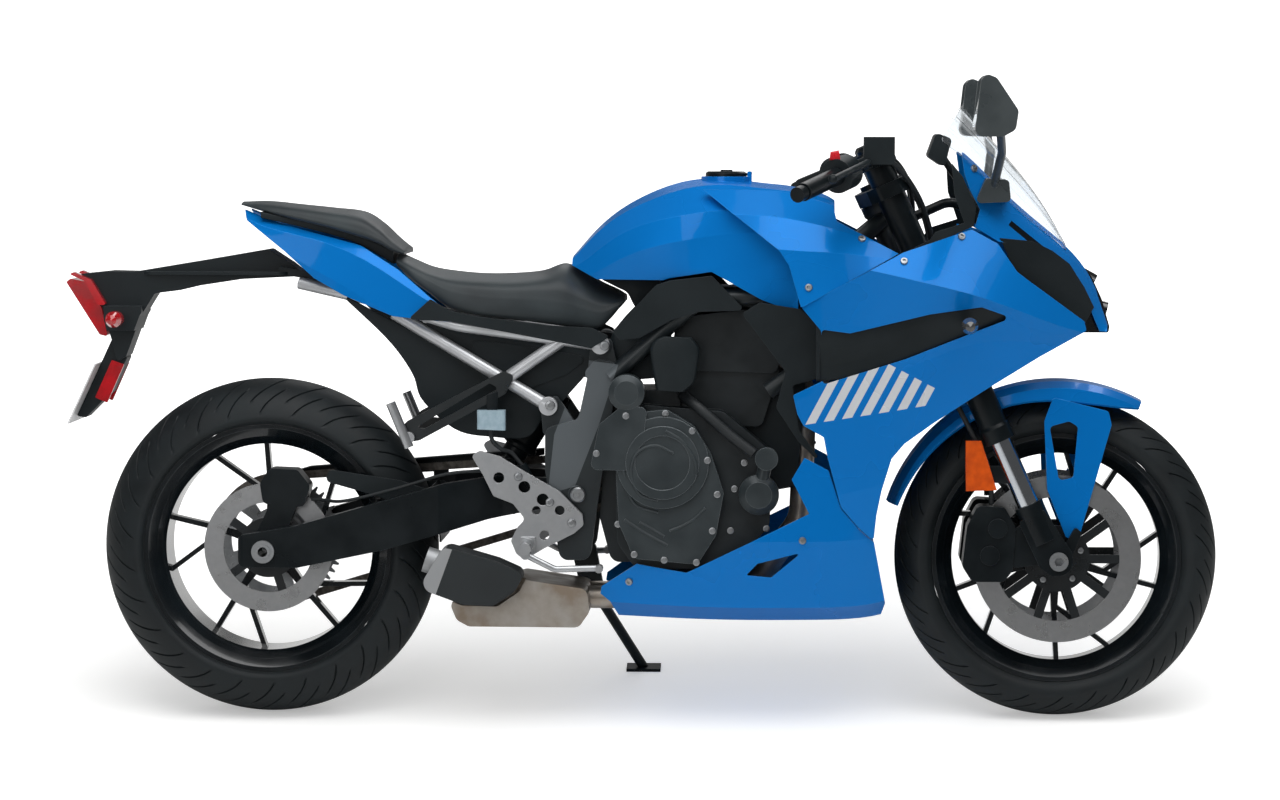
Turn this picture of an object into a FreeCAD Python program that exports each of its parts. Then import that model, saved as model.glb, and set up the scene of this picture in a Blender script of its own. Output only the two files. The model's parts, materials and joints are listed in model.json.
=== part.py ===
import FreeCAD, Part
import Sketcher
import math
import os

V = FreeCAD.Vector
os.makedirs("parts", exist_ok=True)
doc = FreeCAD.newDocument("sport_bike")

# Driving dimensions, in millimetres and degrees
SIZES = (
    ("wheelbase", 1465, "rear axle to front axle"),
    ("rake_angle", 24.2, "steering axis from the vertical"),
    ("fork_offset", 25, "fork tubes ahead of the steering axis"),
    ("axle_lead", 8, "front axle ahead of the fork tubes"),
    ("lean_angle", 10, "parked lean to the left"),
    ("running_gap", 0.05, "radial clearance of a turning fit"),
    ("seat_gap", 0.3, "clearance between pieces that are bolted together"),
    ("front_tyre_radius", 299, "front tyre, outside"),
    ("front_tyre_width", 120, "front tyre section"),
    ("rear_tyre_radius", 313, "rear tyre, outside"),
    ("rear_tyre_width", 180, "rear tyre section"),
    ("tyre_wall", 9, "tyre carcass"),
    ("crown_margin", 3, "tread radius over half the section"),
    ("rim_bead_radius", 218, "bead seat of both rims"),
    ("rim_flange_height", 13, "flange above the bead seat"),
    ("rim_depth", 25, "bead seat to the inner face of the barrel"),
    ("front_rim_width", 100, "front rim over the flanges"),
    ("rear_rim_width", 156, "rear rim over the flanges"),
    ("spoke_pairs", 5, "forked spokes in each wheel"),
    ("spoke_width", 9, "spoke seen from the side"),
    ("spoke_depth", 26, "spoke along the axle"),
    ("front_hub_radius", 33, "front hub barrel"),
    ("front_hub_length", 110, "front hub over its disc faces"),
    ("rear_hub_radius", 44, "rear hub barrel"),
    ("rear_hub_length", 104, "rear hub over its faces"),
    ("front_axle_radius", 12.5, "front axle"),
    ("rear_axle_radius", 14, "rear axle"),
    ("front_disc_radius", 155, "front brake rotor"),
    ("front_disc_offset", 72, "front rotor from the middle of the wheel"),
    ("rear_disc_radius", 120, "rear brake rotor"),
    ("rear_disc_offset", 62, "rear rotor from the middle of the wheel"),
    ("disc_thickness", 4.5, "all rotors"),
    ("disc_clearance", 5, "caliper to rotor, each side"),
    ("fork_span", 210, "between the fork tube centre lines"),
    ("outer_tube_radius", 27, "upper fork tube"),
    ("inner_tube_radius", 20.5, "sliding fork tube"),
    ("outer_tube_start", 246, "upper fork tube's lower end, along the axis"),
    ("fork_top", 842, "fork tube top, along the axis"),
    ("lower_clamp_start", 535, "underside of the lower fork clamp, along the axis"),
    ("upper_clamp_start", 738, "underside of the upper fork clamp, along the axis"),
    ("clamp_thickness", 26, "fork clamps"),
    ("clamp_wall", 12, "clamp metal round each fork tube"),
    ("stem_radius", 17, "steering stem"),
    ("head_tube_radius", 31, "head tube, outside"),
    ("bar_radius", 11, "handlebar tube"),
    ("grip_radius", 16.5, "rubber grips"),
    ("bar_reach", 375, "bar end from the middle of the bike"),
    ("bar_drop", 61, "bar end below the bar clamp"),
    ("bar_sweep", 138, "bar end behind the bar clamp"),
    ("chain_pitch", 15.875, "chain link"),
    ("chain_offset", 104, "chain line from the middle of the bike"),
    ("rear_sprocket_teeth", 47, "rear sprocket"),
    ("front_sprocket_teeth", 17, "gearbox sprocket"),
    ("sprocket_thickness", 6, "rear sprocket plate"),
    ("link_plate", 2.2, "chain side plate"),
    ("link_height", 14, "chain side plate, across the run"),
    ("pivot_ahead", 578, "swingarm pivot ahead of the rear axle"),
    ("pivot_height", 421, "swingarm pivot above the ground"),
    ("pivot_shaft_radius", 11.7, "swingarm pivot shaft"),
    ("frame_half_width", 122, "middle of the pivot plates from the middle of the bike"),
    ("pivot_plate_thickness", 20, "pivot plates"),
    ("arm_inner", 118, "swingarm inner face at the axle"),
    ("arm_thickness", 28, "swingarm arm at the axle"),
    ("frame_tube_radius", 16, "frame beams"),
    ("subframe_tube_radius", 11.5, "silver rear frame tubes"),
    ("subframe_half_width", 130, "rear frame tubes from the middle of the bike"),
    ("crank_height", 483, "crankshaft above the ground"),
    ("crank_ahead", 738, "crankshaft ahead of the rear axle"),
    ("crankcase_half_width", 150, "crankcase over its cover faces"),
    ("clutch_cover_depth", 40, "clutch cover standing off the crankcase"),
    ("generator_cover_depth", 34, "generator cover standing off the crankcase"),
    ("header_radius", 21, "exhaust header pipes"),
    ("muffler_depth", 82, "muffler across the bike"),
    ("tank_half_width", 150, "tank at its widest"),
    ("tank_height", 1002, "top of the tank above the ground"),
    ("cap_radius", 38, "fuel cap lid"),
    ("ring_screw_circle", 42, "screws of the filler's ring, from its middle"),
    ("ring_screw_radius", 2.5, "screw holes in the filler's ring"),
    ("seat_half_width", 140, "rider's seat at its widest"),
    ("panel_wall", 4, "moulded body panels"),
    ("fender_radius", 331, "front fender's top from the axle"),
    ("screen_wall", 3, "windscreen"),
    ("stand_tube_radius", 9.5, "side stand leg"),
    ("peg_radius", 11, "footpegs"),
    ("caliper_height", 62, "front caliper across the rotor"),
)
sheet = doc.addObject("Spreadsheet::Sheet", "sizes")
for row, (alias, value, meaning) in enumerate(SIZES, start=1):
    sheet.set(f"A{row}", meaning)
    sheet.set(f"B{row}", str(value))
    sheet.setAlias(f"B{row}", alias)
doc.recompute()

# The bike is drawn upright over the ground, x forward from the rear axle, y to the left.
# The outlines are drawn for a wheel 1465 ahead, and those of the front go with the front axle.
ACROSS = V(0, 1, 0)
rake = math.radians(sheet.rake_angle)
AXIS = V(-math.sin(rake), 0, math.cos(rake))
FORWARD = V(math.cos(rake), 0, math.sin(rake))
REAR_AXLE = V(0, 0, sheet.rear_tyre_radius)
FRONT_AXLE = V(sheet.wheelbase, 0, sheet.front_tyre_radius)
STEER_BASE = FRONT_AXLE - FORWARD * (sheet.fork_offset + sheet.axle_lead)
PIVOT = V(sheet.pivot_ahead, 0, sheet.pivot_height)
CRANK = V(sheet.crank_ahead, 0, sheet.crank_height)
FORK_SIDE = sheet.fork_span / 2
EDGE = 0.6

sub_parts = []


def steer(along, ahead=0.0, side=0.0):
    """A point by its height along the steering axis and its distance ahead of it."""
    return STEER_BASE + AXIS * along + FORWARD * ahead + ACROSS * side


def side_points(outline, base=V(0, 0, 0)):
    """Side-view pairs as points in the plane y = 0, measured from a base point."""
    return [base + V(x, 0, z) for x, z in outline]


def rounded_wire(points, radius=0.0, closed=True):
    """Straight runs joined by tangent arcs of one radius, limited by the shorter run."""
    count = len(points)
    turns = []
    for index, here in enumerate(points):
        at_end = not closed and index in (0, count - 1)
        if at_end or not radius:
            turns.append((here, None, here))
            continue
        back = points[index - 1] - here
        ahead = points[(index + 1) % count] - here
        half = back.getAngle(ahead) / 2
        run = min(radius / math.tan(half), 0.45 * back.Length, 0.45 * ahead.Length)
        bend = run * math.tan(half)
        if half > math.radians(89.5):
            turns.append((here, None, here))
            continue
        back.normalize()
        ahead.normalize()
        middle = here + (back + ahead).normalize() * (bend / math.sin(half) - bend)
        turns.append((here + back * run, middle, here + ahead * run))
    edges = []
    for index, (start, middle, end) in enumerate(turns):
        if middle is not None:
            edges.append(Part.Arc(start, middle, end).toShape())
        if closed or index + 1 < count:
            following = turns[(index + 1) % count][0]
            if end.distanceToPoint(following) > 1e-6:
                edges.append(Part.LineSegment(end, following).toShape())
    return Part.Wire(edges)


def plate(points, near, far, corner=0.0):
    """A flat piece of a side-view outline, from y = near to y = far."""
    moved = [V(p.x, near, p.z) for p in points]
    return Part.Face(rounded_wire(moved, corner)).extrude(V(0, far - near, 0))


def plan_plate(points, low, high, corner=0.0):
    """A flat piece of an outline seen from above, from z = low to z = high."""
    moved = [V(x, y, low) for x, y in points]
    return Part.Face(rounded_wire(moved, corner)).extrude(V(0, 0, high - low))


def rod(start, end, radius):
    """A round bar between two points."""
    run = end - start
    return Part.makeCylinder(radius, run.Length, start, run)


def tube(points, radius, bend):
    """A round bar along straight runs joined by arcs."""
    path = rounded_wire(points, bend, closed=False)
    ring = Part.Wire(Part.makeCircle(radius, points[0], points[1] - points[0]))
    return path.makePipeShell([ring], True, True)


def lathe(profile, origin, axis, corner=0.0):
    """A turned piece: pairs of radius and height along the axis."""
    points = [V(radius, 0, height) for radius, height in profile]
    turned = Part.Face(rounded_wire(points, corner)).revolve(V(0, 0, 0), V(0, 0, 1), 360)
    turned.Placement = FreeCAD.Placement(origin, FreeCAD.Rotation(V(0, 0, 1), axis))
    return turned


def other_side(shape):
    """The same piece on the left of the bike."""
    return shape.mirror(V(0, 0, 0), ACROSS)


def both_sides(shape):
    """A right-hand piece and its left-hand twin."""
    return Part.Compound([shape, other_side(shape)])


def band(points, wall):
    """A closed strip: the points, and back again one wall to the left of their run."""
    inner = []
    last = len(points) - 1
    for index, here in enumerate(points):
        run = points[min(index + 1, last)] - points[max(index - 1, 0)]
        run.normalize()
        inner.append(here + V(0, -run.z, run.y) * wall)
    return Part.makePolygon(points + inner[::-1] + [points[0]])


def skin(stations, wall, base=0.0, ruled=False):
    """A moulded wall through cross sections: (x, ((half width, height), ...)) on the right."""
    bands = []
    for x, section in stations:
        bands.append(band([V(base + x, -width, height) for width, height in section], wall))
    return Part.makeLoft(bands, True, ruled)


def solid_loft(stations, base=0.0):
    """A solid through mirrored cross sections: (x, ((half width, height), ...)) from the top."""
    wires = []
    for x, section in stations:
        right = [V(base + x, -width, height) for width, height in section]
        left = [V(p.x, -p.y, p.z) for p in reversed(right) if abs(p.y) > EDGE]
        wires.append(Part.makePolygon(right + left + [right[0]]))
    return Part.makeLoft(wires, True, False)


def keep(label, node):
    """Name a sub-part and put it on the list of what is written."""
    node.Label = label
    sub_parts.append(node)
    return node


def feature(label, shape):
    """A sub-part whose shape is worked out here."""
    node = doc.addObject("Part::Feature", label)
    if shape.ShapeType != "Compound" or len(shape.Solids) > 1:
        node.Shape = shape
    else:
        node.Shape = shape.Solids[0]
    return keep(label, node)


def new_sketch(body, role, name):
    """A sketch on one of a body's own planes."""
    sketch = body.newObject("Sketcher::SketchObject", name)
    plane = [item for item in body.Origin.OriginFeatures if item.Role == role][0]
    sketch.AttachmentSupport = [(plane, "")]
    sketch.MapMode = "FlatFace"
    return sketch


def add_circle(sketch, radius, expression):
    """A circle about the sketch's origin, its radius bound to the sheet."""
    circle = sketch.addGeometry(Part.Circle(V(0, 0, 0), V(0, 0, 1), radius))
    sketch.addConstraint(Sketcher.Constraint("Coincident", circle, 3, -1, 1))
    limit = sketch.addConstraint(Sketcher.Constraint("Radius", circle, radius))
    sketch.setExpression(f"Constraints[{limit}]", expression)


def add_outline(sketch, points, rounds=()):
    """A closed outline; a round is the number of a side that is an arc, and its middle point."""
    count = len(points)
    middles = dict(rounds)
    first = sketch.GeometryCount
    for index in range(count):
        start = V(*points[index], 0)
        end = V(*points[(index + 1) % count], 0)
        if index in middles:
            sketch.addGeometry(Part.Arc(start, V(*middles[index], 0), end))
        else:
            sketch.addGeometry(Part.LineSegment(start, end))
    return first


def pad(body, sketch, name, expression):
    """A pad, half of it each side of its sketch, as long as the sheet says."""
    solid = body.newObject("PartDesign::Pad", name)
    solid.Profile = sketch
    solid.Midplane = True
    solid.setExpression("Length", expression)
    body.Tip = solid
    return solid


def pocket(body, sketch, name):
    """A cut right through, both ways from its sketch."""
    hole = body.newObject("PartDesign::Pocket", name)
    hole.Profile = sketch
    hole.Midplane = True
    hole.Type = "ThroughAll"
    body.Tip = hole
    return hole


def revolve(body, sketch, name):
    """A full turn about the sketch's upright axis."""
    solid = body.newObject("PartDesign::Revolution", name)
    solid.Profile = sketch
    solid.ReferenceAxis = (sketch, ["V_Axis"])
    solid.Angle = 360
    body.Tip = solid
    return solid


def polar(body, pattern_of, sketch, name, expression):
    """Copies about the body's own axis, as many as the sheet says."""
    copies = body.newObject("PartDesign::PolarPattern", name)
    copies.Originals = [pattern_of]
    copies.Axis = (sketch, ["N_Axis"])
    copies.Angle = 360
    copies.setExpression("Occurrences", expression)
    body.Tip = copies
    return copies


# A wheel's own axis is its z, which points to the right of the bike
WHEEL_TURN = FreeCAD.Rotation(V(1, 0, 0), 90)


def set_on_axle(node, axle, offset=0.0):
    """Put a turned piece on its axle, offset to the right."""
    node.Placement = FreeCAD.Placement(axle - ACROSS * offset, WHEEL_TURN)


# Wheels
def rim_section(width):
    """Half and half of a drop-centre rim: flanges, bead seats, well and barrel."""
    bead = sheet.rim_bead_radius
    edge = width / 2
    flange = bead + sheet.rim_flange_height
    inside = bead - sheet.rim_depth
    outer = ((flange, edge), (flange, edge - 5), (bead, edge - 7), (bead, edge - 20), (bead - 15, edge - 32))
    inner = ((flange - 8, edge), (bead - 10, edge - 12), (inside, edge - 28))
    section = list(outer) + [(r, -z) for r, z in reversed(outer)]
    return section + [(r, -z) for r, z in inner] + list(reversed(inner))


def forked_spoke(hub_radius, stem_angle, spread):
    """Outline of one forked spoke: a stem that splits into a radial and a slanting arm."""
    half = sheet.spoke_width / 2
    reach = sheet.rim_bead_radius - sheet.rim_depth / 2
    split = 0.45 * reach

    def polar_point(radius, angle):
        return V(radius * math.cos(angle), radius * math.sin(angle), 0)

    stem = math.radians(stem_angle - 2)
    fork = polar_point(split, stem)
    root = polar_point(0.8 * hub_radius, stem)
    tips = [polar_point(reach, math.radians(stem_angle + turn)) for turn in (0, spread)]
    across = polar_point(1, stem + math.pi / 2)
    sides = []
    for tip in tips:
        run = (tip - fork).normalize()
        sides.append((run, V(-run.y, run.x, 0)))
    (run_a, side_a), (run_b, side_b) = sides
    left_a = fork + side_a * half
    right_b = fork - side_b * half
    gap = right_b - left_a
    crotch = left_a + run_a * ((gap.x * run_b.y - gap.y * run_b.x) / (run_a.x * run_b.y - run_a.y * run_b.x))
    outline = [
        root - across * 2.2 * half,
        fork - across * 1.3 * half,
        tips[0] - side_a * half,
        tips[0] + side_a * half,
        crotch,
        tips[1] - side_b * half,
        tips[1] + side_b * half,
        fork + across * 1.5 * half,
        root + across * 2.2 * half,
    ]
    return [(p.x, p.y) for p in outline]


def make_rim(label, axle, end, width, stem_angle):
    """A cast rim: hub, forked spokes, barrel and axle bore."""
    body = doc.addObject("PartDesign::Body", label)
    hub_radius = getattr(sheet, f"{end}_hub_radius")
    hub_sketch = new_sketch(body, "XY_Plane", "hub_circle")
    add_circle(hub_sketch, hub_radius, f"sizes.{end}_hub_radius")
    pad(body, hub_sketch, "hub", f"sizes.{end}_hub_length")
    spoke_sketch = new_sketch(body, "XY_Plane", "spoke_outline")
    add_outline(spoke_sketch, forked_spoke(hub_radius, stem_angle, 30.5))
    spoke = pad(body, spoke_sketch, "spoke", "sizes.spoke_depth")
    polar(body, spoke, hub_sketch, "spokes", "sizes.spoke_pairs")
    barrel_sketch = new_sketch(body, "XZ_Plane", "barrel_section")
    add_outline(barrel_sketch, rim_section(width))
    revolve(body, barrel_sketch, "barrel")
    bore_sketch = new_sketch(body, "XY_Plane", "bore_circle")
    bore = getattr(sheet, f"{end}_axle_radius") + sheet.running_gap
    add_circle(bore_sketch, bore, f"sizes.{end}_axle_radius + sizes.running_gap")
    pocket(body, bore_sketch, "bore")
    set_on_axle(body, axle)
    return keep(label, body)


make_rim("front_rim", FRONT_AXLE, "front", sheet.front_rim_width, -16.9)
make_rim("rear_rim", REAR_AXLE, "rear", sheet.rear_rim_width, 92.8)


def tyre_section(radius, width, rim_width):
    """Outer and inner line of a tubeless tyre, from one bead to the other and back."""
    crown = width / 2 + sheet.crown_margin
    half = width / 2
    shoulder = radius - crown + math.sqrt(crown ** 2 - half ** 2)
    bead = sheet.rim_bead_radius + sheet.rim_flange_height + EDGE
    toe = rim_width / 2 - 2
    wall = sheet.tyre_wall
    inner_shoulder = shoulder - wall / 2
    points = [(bead, toe), (shoulder, half), (shoulder, -half), (bead, -toe)]
    points += [(bead, wall - toe), (inner_shoulder, wall - half), (inner_shoulder, half - wall), (bead, toe - wall)]
    swell = (bead + shoulder) / 2
    rounds = (
        (0, (swell, toe + 0.75 * (half - toe) + 0.006 * width)),
        (1, (radius, 0)),
        (2, (swell, -toe - 0.75 * (half - toe) - 0.006 * width)),
        (5, (radius - wall, 0)),
    )
    return points, rounds


def make_tyre(label, axle, radius, width, rim_width):
    """A tyre carcass, open at its beads."""
    body = doc.addObject("PartDesign::Body", label)
    section = new_sketch(body, "XZ_Plane", "tyre_section")
    add_outline(section, *tyre_section(radius, width, rim_width))
    revolve(body, section, "carcass")
    set_on_axle(body, axle)
    return keep(label, body)


make_tyre("front_tyre", FRONT_AXLE, sheet.front_tyre_radius, sheet.front_tyre_width, sheet.front_rim_width)
make_tyre("rear_tyre", REAR_AXLE, sheet.rear_tyre_radius, sheet.rear_tyre_width, sheet.rear_rim_width)


def rotor(radius, inner, carrier_arms, hub_face, offset, bolt_ring):
    """A brake rotor on its carrier, about the z axis, standing off the hub's face."""
    half = sheet.disc_thickness / 2
    ring = Part.makeCylinder(radius, 2 * half, V(0, 0, offset - half))
    ring = ring.cut(Part.makeCylinder(inner, 2 * half, V(0, 0, offset - half)))
    face = hub_face + sheet.seat_gap
    seat = Part.makeCylinder(bolt_ring, offset - half - face, V(0, 0, face))
    arms = []
    for number in range(carrier_arms):
        arm = Part.makeBox(inner + 4 - 0.6 * bolt_ring, 16, 2 * half, V(0.6 * bolt_ring, -8, offset - half))
        arm.rotate(V(0, 0, 0), V(0, 0, 1), 360 / carrier_arms * number)
        arms.append(arm)
    plate_ring = Part.makeCylinder(bolt_ring, 2 * half, V(0, 0, offset - half))
    return ring.fuse([seat, plate_ring] + arms)


def make_discs():
    """Front rotors on both sides, the rear rotor and the rear sprocket with its carrier."""
    front = rotor(sheet.front_disc_radius, sheet.front_disc_radius - 40, 10,
                  sheet.front_hub_length / 2, sheet.front_disc_offset, sheet.front_hub_radius + 28)
    front = front.cut(Part.makeCylinder(sheet.front_hub_radius - 4, 200, V(0, 0, 0)))
    twin = front.mirror(V(0, 0, 0), V(0, 0, 1))
    node = feature("front_discs", Part.Compound([front, twin]))
    set_on_axle(node, FRONT_AXLE)
    rear = rotor(sheet.rear_disc_radius, sheet.rear_disc_radius - 36, 5,
                 sheet.rear_hub_length / 2, sheet.rear_disc_offset, sheet.rear_hub_radius + 12)
    rear = rear.cut(Part.makeCylinder(sheet.rear_hub_radius - 10, 200, V(0, 0, 0)))
    node = feature("rear_disc", rear)
    set_on_axle(node, REAR_AXLE)


make_discs()


def pitch_radius(teeth):
    """Radius of the pin circle of a chain sprocket."""
    return sheet.chain_pitch / (2 * math.sin(math.pi / teeth))


def toothed_plate(teeth, tooth_height, thickness):
    """A sprocket plate about z: one straight-sided tooth for each link."""
    root = pitch_radius(teeth) - tooth_height * 0.55
    tip = root + tooth_height
    step = 2 * math.pi / teeth
    points = []
    for tooth in range(teeth):
        for radius, share in ((root, -0.27), (tip, -0.1), (tip, 0.1), (root, 0.27)):
            angle = step * (tooth + share)
            points.append(V(radius * math.cos(angle), radius * math.sin(angle), -thickness / 2))
    return Part.Face(rounded_wire(points)).extrude(V(0, 0, thickness))


def make_sprocket():
    """Rear sprocket, cut away between five arms, on its cushioned carrier."""
    ring_inner = pitch_radius(sheet.rear_sprocket_teeth) - 28
    boss = sheet.rear_hub_radius + 10
    plate_solid = toothed_plate(int(sheet.rear_sprocket_teeth), 10, sheet.sprocket_thickness)
    windows = []
    for number in range(int(sheet.spoke_pairs)):
        wedge = Part.makeCylinder(ring_inner, 20, V(0, 0, -10), V(0, 0, 1), 360 / sheet.spoke_pairs - 20)
        wedge = wedge.cut(Part.makeCylinder(boss + 8, 20, V(0, 0, -10)))
        wedge.rotate(V(0, 0, 0), V(0, 0, 1), 360 / sheet.spoke_pairs * number)
        windows.append(wedge)
    plate_solid = plate_solid.cut(windows)
    seat = sheet.chain_offset - sheet.rear_hub_length / 2 - sheet.seat_gap
    carrier = Part.makeCylinder(boss, seat, V(0, 0, 0))
    whole = plate_solid.fuse(carrier).cut(Part.makeCylinder(sheet.rear_hub_radius - 14, 200, V(0, 0, -50)))
    node = feature("rear_sprocket", whole)
    set_on_axle(node, REAR_AXLE, -sheet.chain_offset)


make_sprocket()


# Steering: everything that turns with the fork
STEER_TURN = FreeCAD.Rotation(ACROSS, -sheet.rake_angle)
TUBE_BOTTOM = 118
BAR_CLAMP_START = sheet.fork_top - 44
BAR_CLAMP_HEIGHT = 32


def on_fork(shape, along):
    """Set a piece drawn about z, with x ahead, on the steering axis."""
    shape.Placement = FreeCAD.Placement(steer(along), STEER_TURN)
    return shape


def fork_bores(low, high):
    """Cutters for the two fork tubes, about the steering axis."""
    radius = sheet.outer_tube_radius + sheet.seat_gap
    return [Part.makeCylinder(radius, high - low, V(sheet.fork_offset, side, low)) for side in (-FORK_SIDE, FORK_SIDE)]


def fork_clamp(along):
    """A fork clamp: two tube rings joined by a bridge round the stem."""
    ring = sheet.outer_tube_radius + sheet.clamp_wall
    tail = sheet.stem_radius + 19
    ahead = sheet.fork_offset
    right = [(ahead - ring, -FORK_SIDE - 0.4 * ring), (ahead - 0.5 * ring, -FORK_SIDE - ring),
             (ahead + 0.5 * ring, -FORK_SIDE - ring), (ahead + ring, -FORK_SIDE - 0.4 * ring),
             (ahead + ring, 0.6 * ring - FORK_SIDE), (ahead + 12, -0.9 * tail)]
    outline = [(-tail, -0.7 * tail)] + right + [(x, -y) for x, y in reversed(right)] + [(-tail, 0.7 * tail)]
    clamp = plan_plate(outline, 0, sheet.clamp_thickness, 10)
    return on_fork(clamp.cut(fork_bores(0, sheet.clamp_thickness)), along)


def make_clamps():
    """Both fork clamps on the steering stem."""
    low = sheet.lower_clamp_start
    high = sheet.upper_clamp_start + sheet.clamp_thickness
    stem = rod(steer(low), steer(high), sheet.stem_radius)
    nut = rod(steer(high), steer(high + 9), sheet.stem_radius + 4)
    whole = fork_clamp(low).fuse([fork_clamp(sheet.upper_clamp_start), stem, nut])
    feature("triple_clamps", whole)


make_clamps()


def make_fork():
    """Upper tubes with their feet in one node, and the bright sliding tubes in another."""
    ahead = sheet.fork_offset
    start = sheet.outer_tube_start
    radius = sheet.outer_tube_radius
    foot_radius = sheet.inner_tube_radius + 6.5
    top = sheet.fork_top
    profile = ((0, start), (radius + 2.5, start), (radius + 2.5, start + 26), (radius, start + 32),
               (radius, top - 6), (radius - 6, top), (0, top))
    upper = lathe([(r, z - start) for r, z in profile], steer(start, ahead, -FORK_SIDE), AXIS)
    sleeve = rod(steer(42, ahead, -FORK_SIDE), steer(TUBE_BOTTOM, ahead, -FORK_SIDE), foot_radius)
    near = -FORK_SIDE + 17
    far = -FORK_SIDE - 20
    web = plate(side_points(((-74, 72), (-28, 97), (26, 14), (20, -20), (-12, -28), (-34, -12)), FRONT_AXLE),
                near, far, 8)
    lug = plate(side_points(((-77.7, 60), (-40, 74), (-30, -8), (-83.4, -14)), FRONT_AXLE), near, near - 16, 4)
    stay = plate(side_points(((8, 20), (32, 62), (44, 50), (26, 6)), FRONT_AXLE), near + 1.7, near - 10, 5)
    boss = rod(FRONT_AXLE + ACROSS * (near + 3), FRONT_AXLE + ACROSS * far, sheet.front_axle_radius + 14)
    bore = rod(FRONT_AXLE - ACROSS * 60, FRONT_AXLE - ACROSS * 160, sheet.front_axle_radius + sheet.seat_gap)
    foot = sleeve.fuse([web, lug, stay, boss]).cut(bore)
    feature("fork_legs", Part.Compound([upper, foot, other_side(upper), other_side(foot)]))
    inner = rod(steer(TUBE_BOTTOM, ahead, -FORK_SIDE), steer(start, ahead, -FORK_SIDE), sheet.inner_tube_radius)
    feature("fork_tubes", both_sides(inner))


make_fork()


def make_front_axle():
    """Axle with its heads, and the spacers between hub and fork feet."""
    foot_inner = FORK_SIDE - 20
    foot_outer = FORK_SIDE + 20 + sheet.seat_gap
    shaft = rod(FRONT_AXLE - ACROSS * (foot_outer + 6), FRONT_AXLE + ACROSS * (foot_outer + 6), sheet.front_axle_radius)
    parts = []
    for side in (-1, 1):
        hub_face = FRONT_AXLE + ACROSS * side * (sheet.front_hub_length / 2 + sheet.seat_gap)
        fork_face = FRONT_AXLE + ACROSS * side * (foot_inner - sheet.seat_gap)
        parts.append(rod(hub_face, fork_face, sheet.front_axle_radius + 6))
        outside = FRONT_AXLE + ACROSS * side * foot_outer
        parts.append(rod(outside, outside + ACROSS * side * 6, sheet.front_axle_radius + 5))
    corner = sheet.front_axle_radius - 4
    hexagon = [(corner * math.cos(math.radians(turn)), corner * math.sin(math.radians(turn)))
               for turn in range(0, 360, 60)]
    sockets = [plate(side_points(hexagon, FRONT_AXLE), side * (foot_outer - 8), side * (foot_outer + 10))
               for side in (-1, 1)]
    feature("front_axle", shaft.fuse(parts).cut(sockets))


make_front_axle()


def make_front_calipers():
    """Radial calipers behind the fork feet, each slotted for its rotor."""
    outline = ((-176, -12), (-168, 62), (-148, 101), (-98, 98), (-78, 60), (-84, -20), (-100, -40), (-158, -40))
    middle = sheet.front_disc_offset
    block = plate(side_points(outline, FRONT_AXLE), -middle + 0.42 * sheet.caliper_height,
                  -middle - 0.58 * sheet.caliper_height, 14)
    slot_half = sheet.disc_thickness / 2 + sheet.disc_clearance
    slot = rod(FRONT_AXLE - ACROSS * (middle - slot_half), FRONT_AXLE - ACROSS * (middle + slot_half),
               sheet.front_disc_radius + 6)
    caliper = block.cut(slot)
    pistons = []
    for angle in (152, 176):
        turn = math.radians(angle)
        centre = FRONT_AXLE + V(math.cos(turn), 0, math.sin(turn)) * 126
        face = centre - ACROSS * (middle + 0.58 * sheet.caliper_height - 1)
        pistons.append(rod(face, face - ACROSS * 6, 18))
    feature("front_calipers", both_sides(caliper.fuse(pistons)))


make_front_calipers()


def bar_ends():
    """Root and end of the right-hand bar."""
    root = steer(BAR_CLAMP_START + BAR_CLAMP_HEIGHT / 2, sheet.fork_offset, -FORK_SIDE)
    end = V(root.x - sheet.bar_sweep, -sheet.bar_reach, root.z - sheet.bar_drop)
    return root, end


def make_handlebars():
    """Clip-on bars: a ring round each fork tube, the bar, its grip and end weight."""
    root, end = bar_ends()
    run = end - root
    low = steer(BAR_CLAMP_START, sheet.fork_offset, -FORK_SIDE)
    high = steer(BAR_CLAMP_START + BAR_CLAMP_HEIGHT, sheet.fork_offset, -FORK_SIDE)
    ring = rod(low, high, sheet.outer_tube_radius + sheet.clamp_wall - 2)
    bar = rod(root, root + run * 0.97, sheet.bar_radius)
    grip = rod(root + run * 0.52, root + run * 0.955, sheet.grip_radius)
    weight = rod(root + run * 0.965, root + run * 1.03, sheet.grip_radius - 2.5)
    bore = rod(low - AXIS * 40, high + AXIS * 20, sheet.outer_tube_radius + sheet.seat_gap)
    feature("handlebars", both_sides(ring.fuse([bar, grip, weight]).cut(bore)))


make_handlebars()


def make_hand_controls():
    """Switch housings, lever perches and levers, and the brake fluid reservoir on the right."""
    root, end = bar_ends()
    run = end - root
    lead = AXIS.cross(run).normalize()
    clear_bar = rod(root, root + run * 0.6, sheet.bar_radius + sheet.seat_gap)
    housing = rod(root + run * 0.37, root + run * 0.512, sheet.grip_radius + 15)
    perch = rod(root + run * 0.33, root + run * 0.33 + lead * 42, 12)
    collar = rod(root + run * 0.28, root + run * 0.368, 19)
    lever = tube([root + run * 0.33 + lead * 36, root + run * 0.47 + lead * 64,
                  root + run * 0.72 + lead * 66, root + run * 1.0 + lead * 74], 6, 40)
    tip = Part.makeSphere(8.5, root + run * 1.0 + lead * 74)
    side = housing.fuse([perch, collar, lever, tip]).cut(clear_bar)
    tank = steer(825, sheet.fork_offset + 12, -FORK_SIDE - 92)
    box = Part.makeBox(56, 52, 50, V(tank.x - 28, tank.y - 26, tank.z - 25))
    stalk = rod(root + run * 0.33 + lead * 30, tank, 8)
    right = side.fuse([box, stalk])
    feature("hand_controls", Part.Compound([right, other_side(side)]))


make_hand_controls()


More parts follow.
